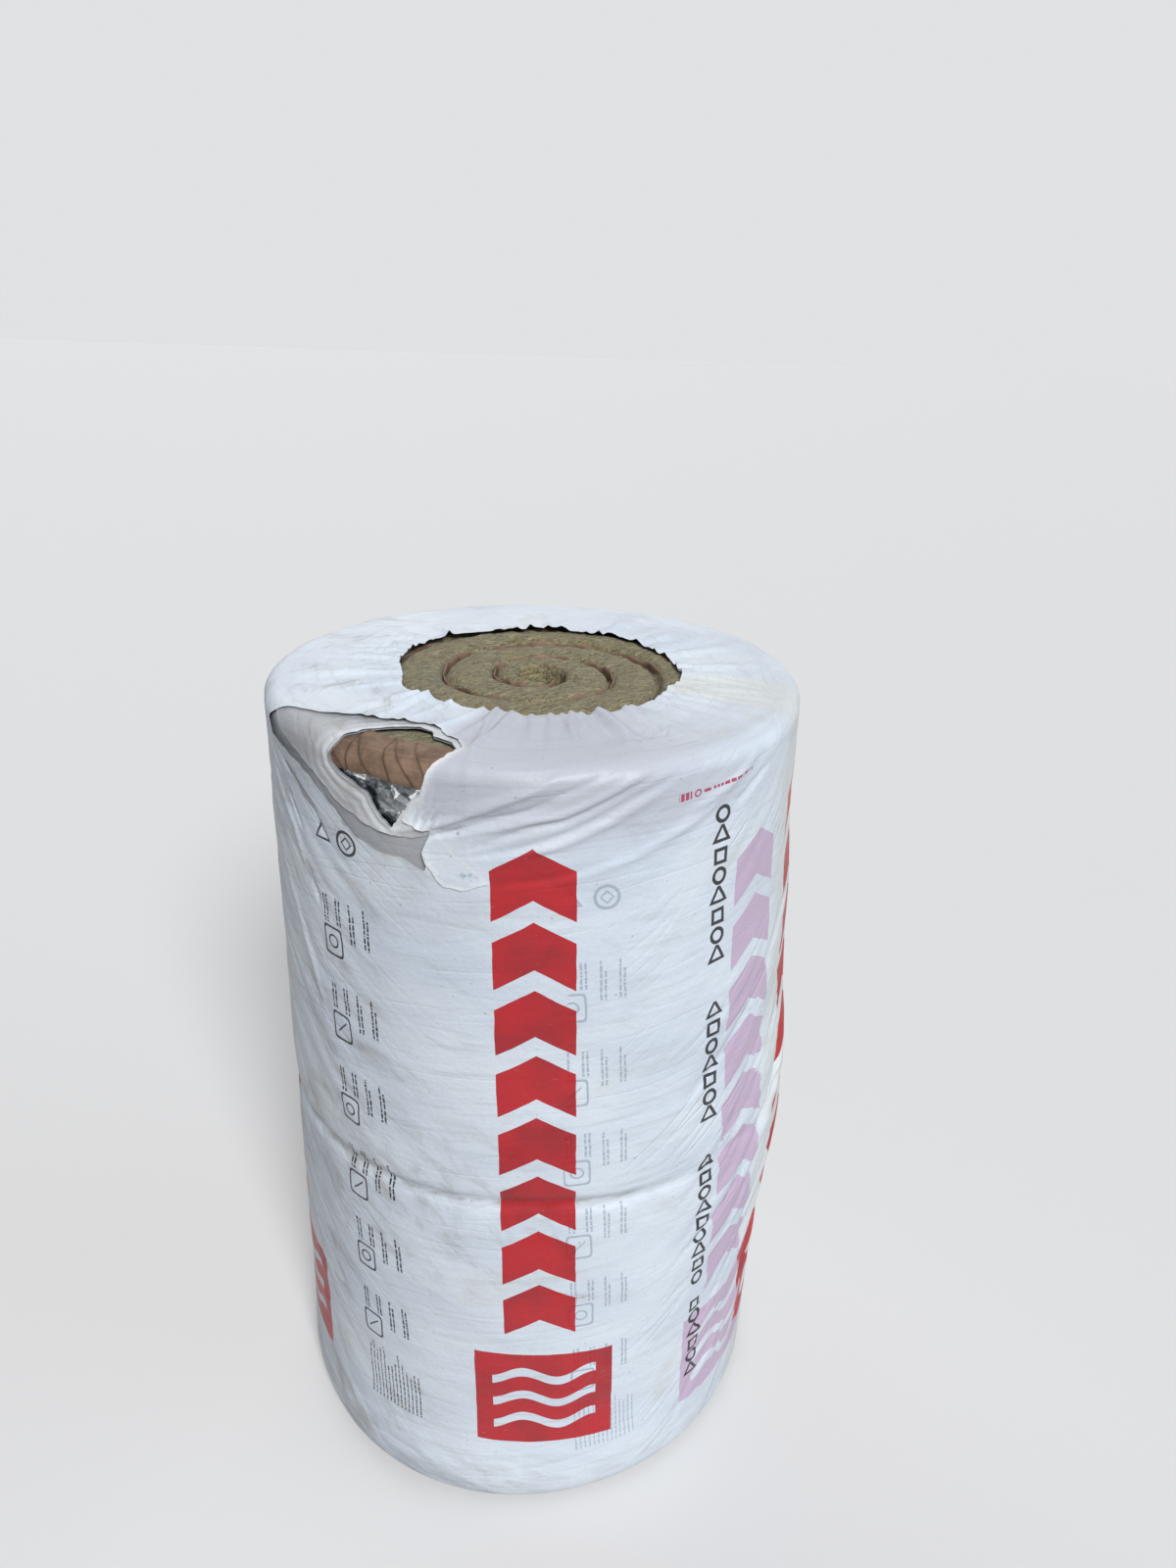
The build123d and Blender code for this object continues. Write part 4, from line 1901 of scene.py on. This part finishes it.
@dataclass
class WoolRoll:
    """One roll of stone wool with a round eye, whose turns crown on its free end."""

    name: str
    base: float
    top: float
    free_top: bool
    turned: float
    radius: float = 0.2955
    eye: float = 0.030
    pitch: float = 0.057
    rim: float = 0.020
    columns: int = 420
    crown: float = 0.0045
    groove_depth: float = 0.0105
    groove_reach: float = 0.0042
    stagger: float = 0.0016
    strip_half: float = 0.0006
    strip_depth: float = 0.020
    strip_turns: Span = (0.06, 2.75)
    strip_points: int = 900
    finish: WoolFinish = WoolFinish()

    def end_drop(self, r: Array, angle: Array) -> Array:
        """How far the free end lies below its highest plane.

        The seam winds outwards by a pitch in each turn, and the place across a turn is the
        distance from the eye in pitches, less the seam's share. Each turn is crowned as a
        parabola between its two seams, stands a little higher or lower than the next and is
        roughened by two swells.

        Args:
            r: Distance from the axis.
            angle: Angle about +Z.

        Returns:
            Drop in metres, zero or more.
        """
        seam_share = ((math.pi + self.turned - angle) / FULL_TURN) % 1.0
        across = (r - self.eye) / self.pitch - seam_share
        turn = np.floor(across)
        from_seam = np.minimum(across - turn, turn + 1.0 - across) * self.pitch
        crown = self.crown * (1.0 - np.clip(from_seam / (self.pitch / 2), 0.0, 1.0)) ** 2
        groove = self.groove_depth * np.exp(-((from_seam / self.groove_reach) ** 1.6))
        stagger = self.stagger * (1.0 + np.sin(turn * 2.4 + self.turned))
        place = (r * np.cos(angle), r * np.sin(angle), 0.75)
        tufts = 0.0011 * Swell(71, 60, 0.012).at(*place) + 0.0008 * Swell(72, 140, 0.0055, 120).at(*place)
        return np.maximum(crown + groove + stagger + 0.0012 + tufts, 0.0004)

    def build(self) -> bpy.types.Object:
        """Build the roll as a closed turned skin.

        The section runs up the eye, out over the top end, down the side and back under the base
        to the eye, and is carried round the axis.

        Returns:
            The roll.
        """
        out, low, high = self.radius - self.rim, self.base + self.rim, self.top - self.rim
        free = spaced((self.eye, 0.186, 0.0026), (0.186, out, 0.018))
        pressed = spaced((self.eye, out, 0.04))
        over, under = (free, pressed) if self.free_top else (pressed, free)
        arc = np.linspace(0.0, math.pi / 2, 6)[1:-1]
        section = (
            (np.full(12, self.eye), np.linspace(self.base + 0.014, self.top - 0.014, 12)),
            (over, np.full(len(over), self.top)),
            (out + self.rim * np.sin(arc), high + self.rim * np.cos(arc)),
            (np.full(6, self.radius), np.linspace(high, low, 6)),
            (out + self.rim * np.cos(arc), low - self.rim * np.sin(arc)),
            (under[::-1], np.full(len(under), self.base)),
        )
        r, z = (np.concatenate(run) for run in zip(*section))
        angle = np.linspace(0.0, FULL_TURN, self.columns + 1)[:-1]
        radius, turn = np.meshgrid(r, angle, indexing="ij")
        height = np.repeat(z[:, None], len(angle), axis=1)
        end, inward = (self.top, -1.0) if self.free_top else (self.base, 1.0)
        on_end = np.isclose(height, end) & (radius <= out + 1e-6)
        height = height + inward * np.where(on_end, self.end_drop(radius, turn), 0.0)
        uneven = 0.0012 * Swell(73, 26, 0.03).at(turn, height, FULL_TURN)
        radius = radius + np.where(radius <= self.eye + 1e-6, uneven, 0.0)
        points = np.stack([radius * np.cos(turn), radius * np.sin(turn), height], axis=-1)
        closed = settled(np.concatenate([points, points[:1]]))
        made = grid_mesh(f"{self.name}_wound", closed[::-1], wrapped=True)
        made.data.materials.append(self.finish.material(f"wool_{self.name}"))
        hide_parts(self.name)
        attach(made, BODY)
        return made

    def build_winding_edge(self, kraft: KraftFinish) -> bpy.types.Object:
        """The facing's own edge between the turns: a thin paper strip standing in the seam.

        The strip follows the seam's spiral, one pitch further out for each turn, and stands a
        few millimetres above the bottom of the groove with a wandering upper edge. Its skin
        runs up the outside and down the inside.

        Args:
            kraft: Finish of the paper.

        Returns:
            The strip.
        """
        wound = np.linspace(*self.strip_turns, self.strip_points) * FULL_TURN
        angle = math.pi + self.turned - wound
        r = self.eye + self.pitch * wound / FULL_TURN
        r = r + 0.0007 * np.sin(wound * 9.0) + 0.0006 * np.sin(wound * 23.0 + 1.0)
        end, sign = (self.top, 1.0) if self.free_top else (self.base, -1.0)
        proud = -0.0060 + 0.0022 * np.sin(wound * 5.0) + 0.0016 * np.sin(wound * 14.0 + 2.0)
        levels = np.linspace(0.0, 1.0, 5)
        share = np.concatenate([levels, levels[::-1]])[:, None]
        out = r + np.repeat([self.strip_half, -self.strip_half], len(levels))[:, None]
        height = end + sign * ((proud + self.strip_depth) * share - self.strip_depth)
        skin = np.stack([out * np.cos(angle), out * np.sin(angle), height], axis=-1)
        made = grid_mesh(f"{self.name}_facing_edge", skin if sign < 0 else skin[:, ::-1])
        made.data.materials.append(kraft.material(f"kraft_{self.name}"))
        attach(made, BODY)
        return made


@dataclass(frozen=True)
class Lamp:
    """Soft far lamp.

    Its azimuth runs from the front towards the right and its height above the floor, both in
    degrees, as its spread is. The strength is the light on a surface square to it.
    """

    name: str
    azimuth: float
    height: float
    strength: float
    spread: float
    colour: Colour = (1.0, 1.0, 1.0)

    def build(self) -> None:
        """Add the lamp to the scene."""
        turn, tilt = math.radians(self.azimuth), math.radians(self.height)
        flat = math.cos(tilt)
        toward = Vector((math.sin(turn) * flat, -math.cos(turn) * flat, math.sin(tilt)))
        lamp = bpy.data.lights.new(self.name, "SUN")
        lamp.energy = self.strength
        lamp.color = self.colour
        lamp.angle = math.radians(self.spread)
        made = bpy.data.objects.new(self.name, lamp)
        made.rotation_mode = "QUATERNION"
        made.rotation_quaternion = toward.to_track_quat("Z", "Y")
        bpy.context.scene.collection.objects.link(made)


@dataclass
class Studio:
    """Floor, light and camera."""

    camera_place: Triple = (0.0, -1.1785, 1.3243)
    pitch: float = 23.234
    yaw: float = 2.800
    roll: float = 1.9446
    focal_pixels: float = 1110.0
    frame_height: float = 1600.0
    sensor: float = 36.0
    nearest: float = 0.05
    lamps: tuple[Lamp, ...] = (
        Lamp("key", azimuth=15.0, height=38.0, strength=3.35, spread=24.0),
        Lamp("side", azimuth=82.0, height=24.0, strength=0.4, spread=50.0, colour=(0.72, 0.87, 1.0)),
        Lamp("back", azimuth=196.0, height=36.0, strength=0.7, spread=60.0),
    )
    sky: Colour = (0.11, 0.11, 0.11)
    backdrop: Colour = (0.753, 0.757, 0.768)
    floor_half: float = 40.0
    floor_bounce: Colour = (0.15, 0.15, 0.15)
    floor_seen: Colour = (0.78, 0.78, 0.785)

    def build_camera(self) -> None:
        """Camera at the photograph's place, turned by its yaw, pitch and roll."""
        pitch, yaw, roll = (math.radians(a) for a in (self.pitch, self.yaw, self.roll))
        ahead = Vector((math.sin(yaw) * math.cos(pitch), math.cos(yaw) * math.cos(pitch), -math.sin(pitch)))
        right = Vector((math.cos(yaw), -math.sin(yaw), 0.0))
        up = right.cross(ahead)
        across = right * math.cos(roll) + up * math.sin(roll)
        upward = up * math.cos(roll) - right * math.sin(roll)
        data = bpy.data.cameras.new("camera")
        data.sensor_width = self.sensor
        data.lens = self.focal_pixels / self.frame_height * self.sensor
        data.clip_start = self.nearest
        camera = bpy.data.objects.new("camera", data)
        turned = Matrix((across, upward, -ahead)).transposed().to_4x4()
        camera.matrix_world = Matrix.Translation(self.camera_place) @ turned
        bpy.context.scene.collection.objects.link(camera)
        bpy.context.scene.camera = camera

    def build_floor(self) -> None:
        """Wide pale floor, which shows paler to the camera and in reflections than it bounces."""
        side = np.linspace(-self.floor_half, self.floor_half, 9)
        x, y = np.meshgrid(side, side)
        floor = grid_mesh("studio_floor", np.stack([x, y, x * 0.0], axis=-1))
        graph = Graph(bpy.data.materials.new("studio_floor"), self.floor_bounce)
        graph.paint(graph.background_rays(), self.floor_seen)
        floor.data.materials.append(graph.dress(0.85, Specular_IOR_Level=0.2))

    def build_light(self) -> None:
        """A soft key from the front, weaker lamps from the right and the back, and a plain sky."""
        for lamp in self.lamps:
            lamp.build()
        world = bpy.data.worlds.new("studio")
        bpy.context.scene.world = world
        graph = Graph(world, self.sky)
        graph.paint(graph.background_rays(), self.backdrop)
        graph.feed(graph.tree.nodes["Background"].inputs["Color"], graph.colour)

    def build(self) -> None:
        """Set up the whole studio."""
        self.build_camera()
        self.build_floor()
        self.build_light()


def dress_hidden_nodes(foil: FoilFinish, kraft: KraftFinish) -> None:
    """Give the CAD nodes inside the bag their finishes.

    Args:
        foil: Finish of the foil sleeve.
        kraft: Finish of the paper edges.
    """
    finishes = {
        "lower_roll_foil": foil.material("foil_lower"),
        "lower_roll_bottom_edge": kraft.material("kraft_lower_bottom"),
        "lower_roll_top_edge": kraft.material("kraft_lower_top"),
        "upper_roll_bottom_edge": kraft.material("kraft_upper_bottom"),
    }
    for name, material in finishes.items():
        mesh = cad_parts[name].data
        mesh.materials.clear()
        mesh.materials.append(material)


def main() -> None:
    """Build the dressed model piece by piece."""
    logging.basicConfig(level=logging.INFO, format="%(message)s")
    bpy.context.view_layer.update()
    bpy.context.scene.view_settings.view_transform = "Standard"
    Studio().build()
    facing = Facing()
    rolls = [
        WoolRoll("lower_roll_wool", base=0.0052, top=0.4592, free_top=False, turned=0.0),
        WoolRoll("upper_roll_wool", base=0.4608, top=0.9580, free_top=True, turned=math.radians(140.0)),
    ]
    pieces = [*facing.build()]
    for roll in rolls:
        pieces += [roll.build(), roll.build_winding_edge(facing.kraft)]
    bag = FilmBag()
    pieces += bag.build()
    dress_hidden_nodes(facing.foil, facing.kraft)
    for piece in pieces:
        log.info("%s: %d faces", piece.name, len(piece.data.polygons))


if __name__ == "__main__":
    main()
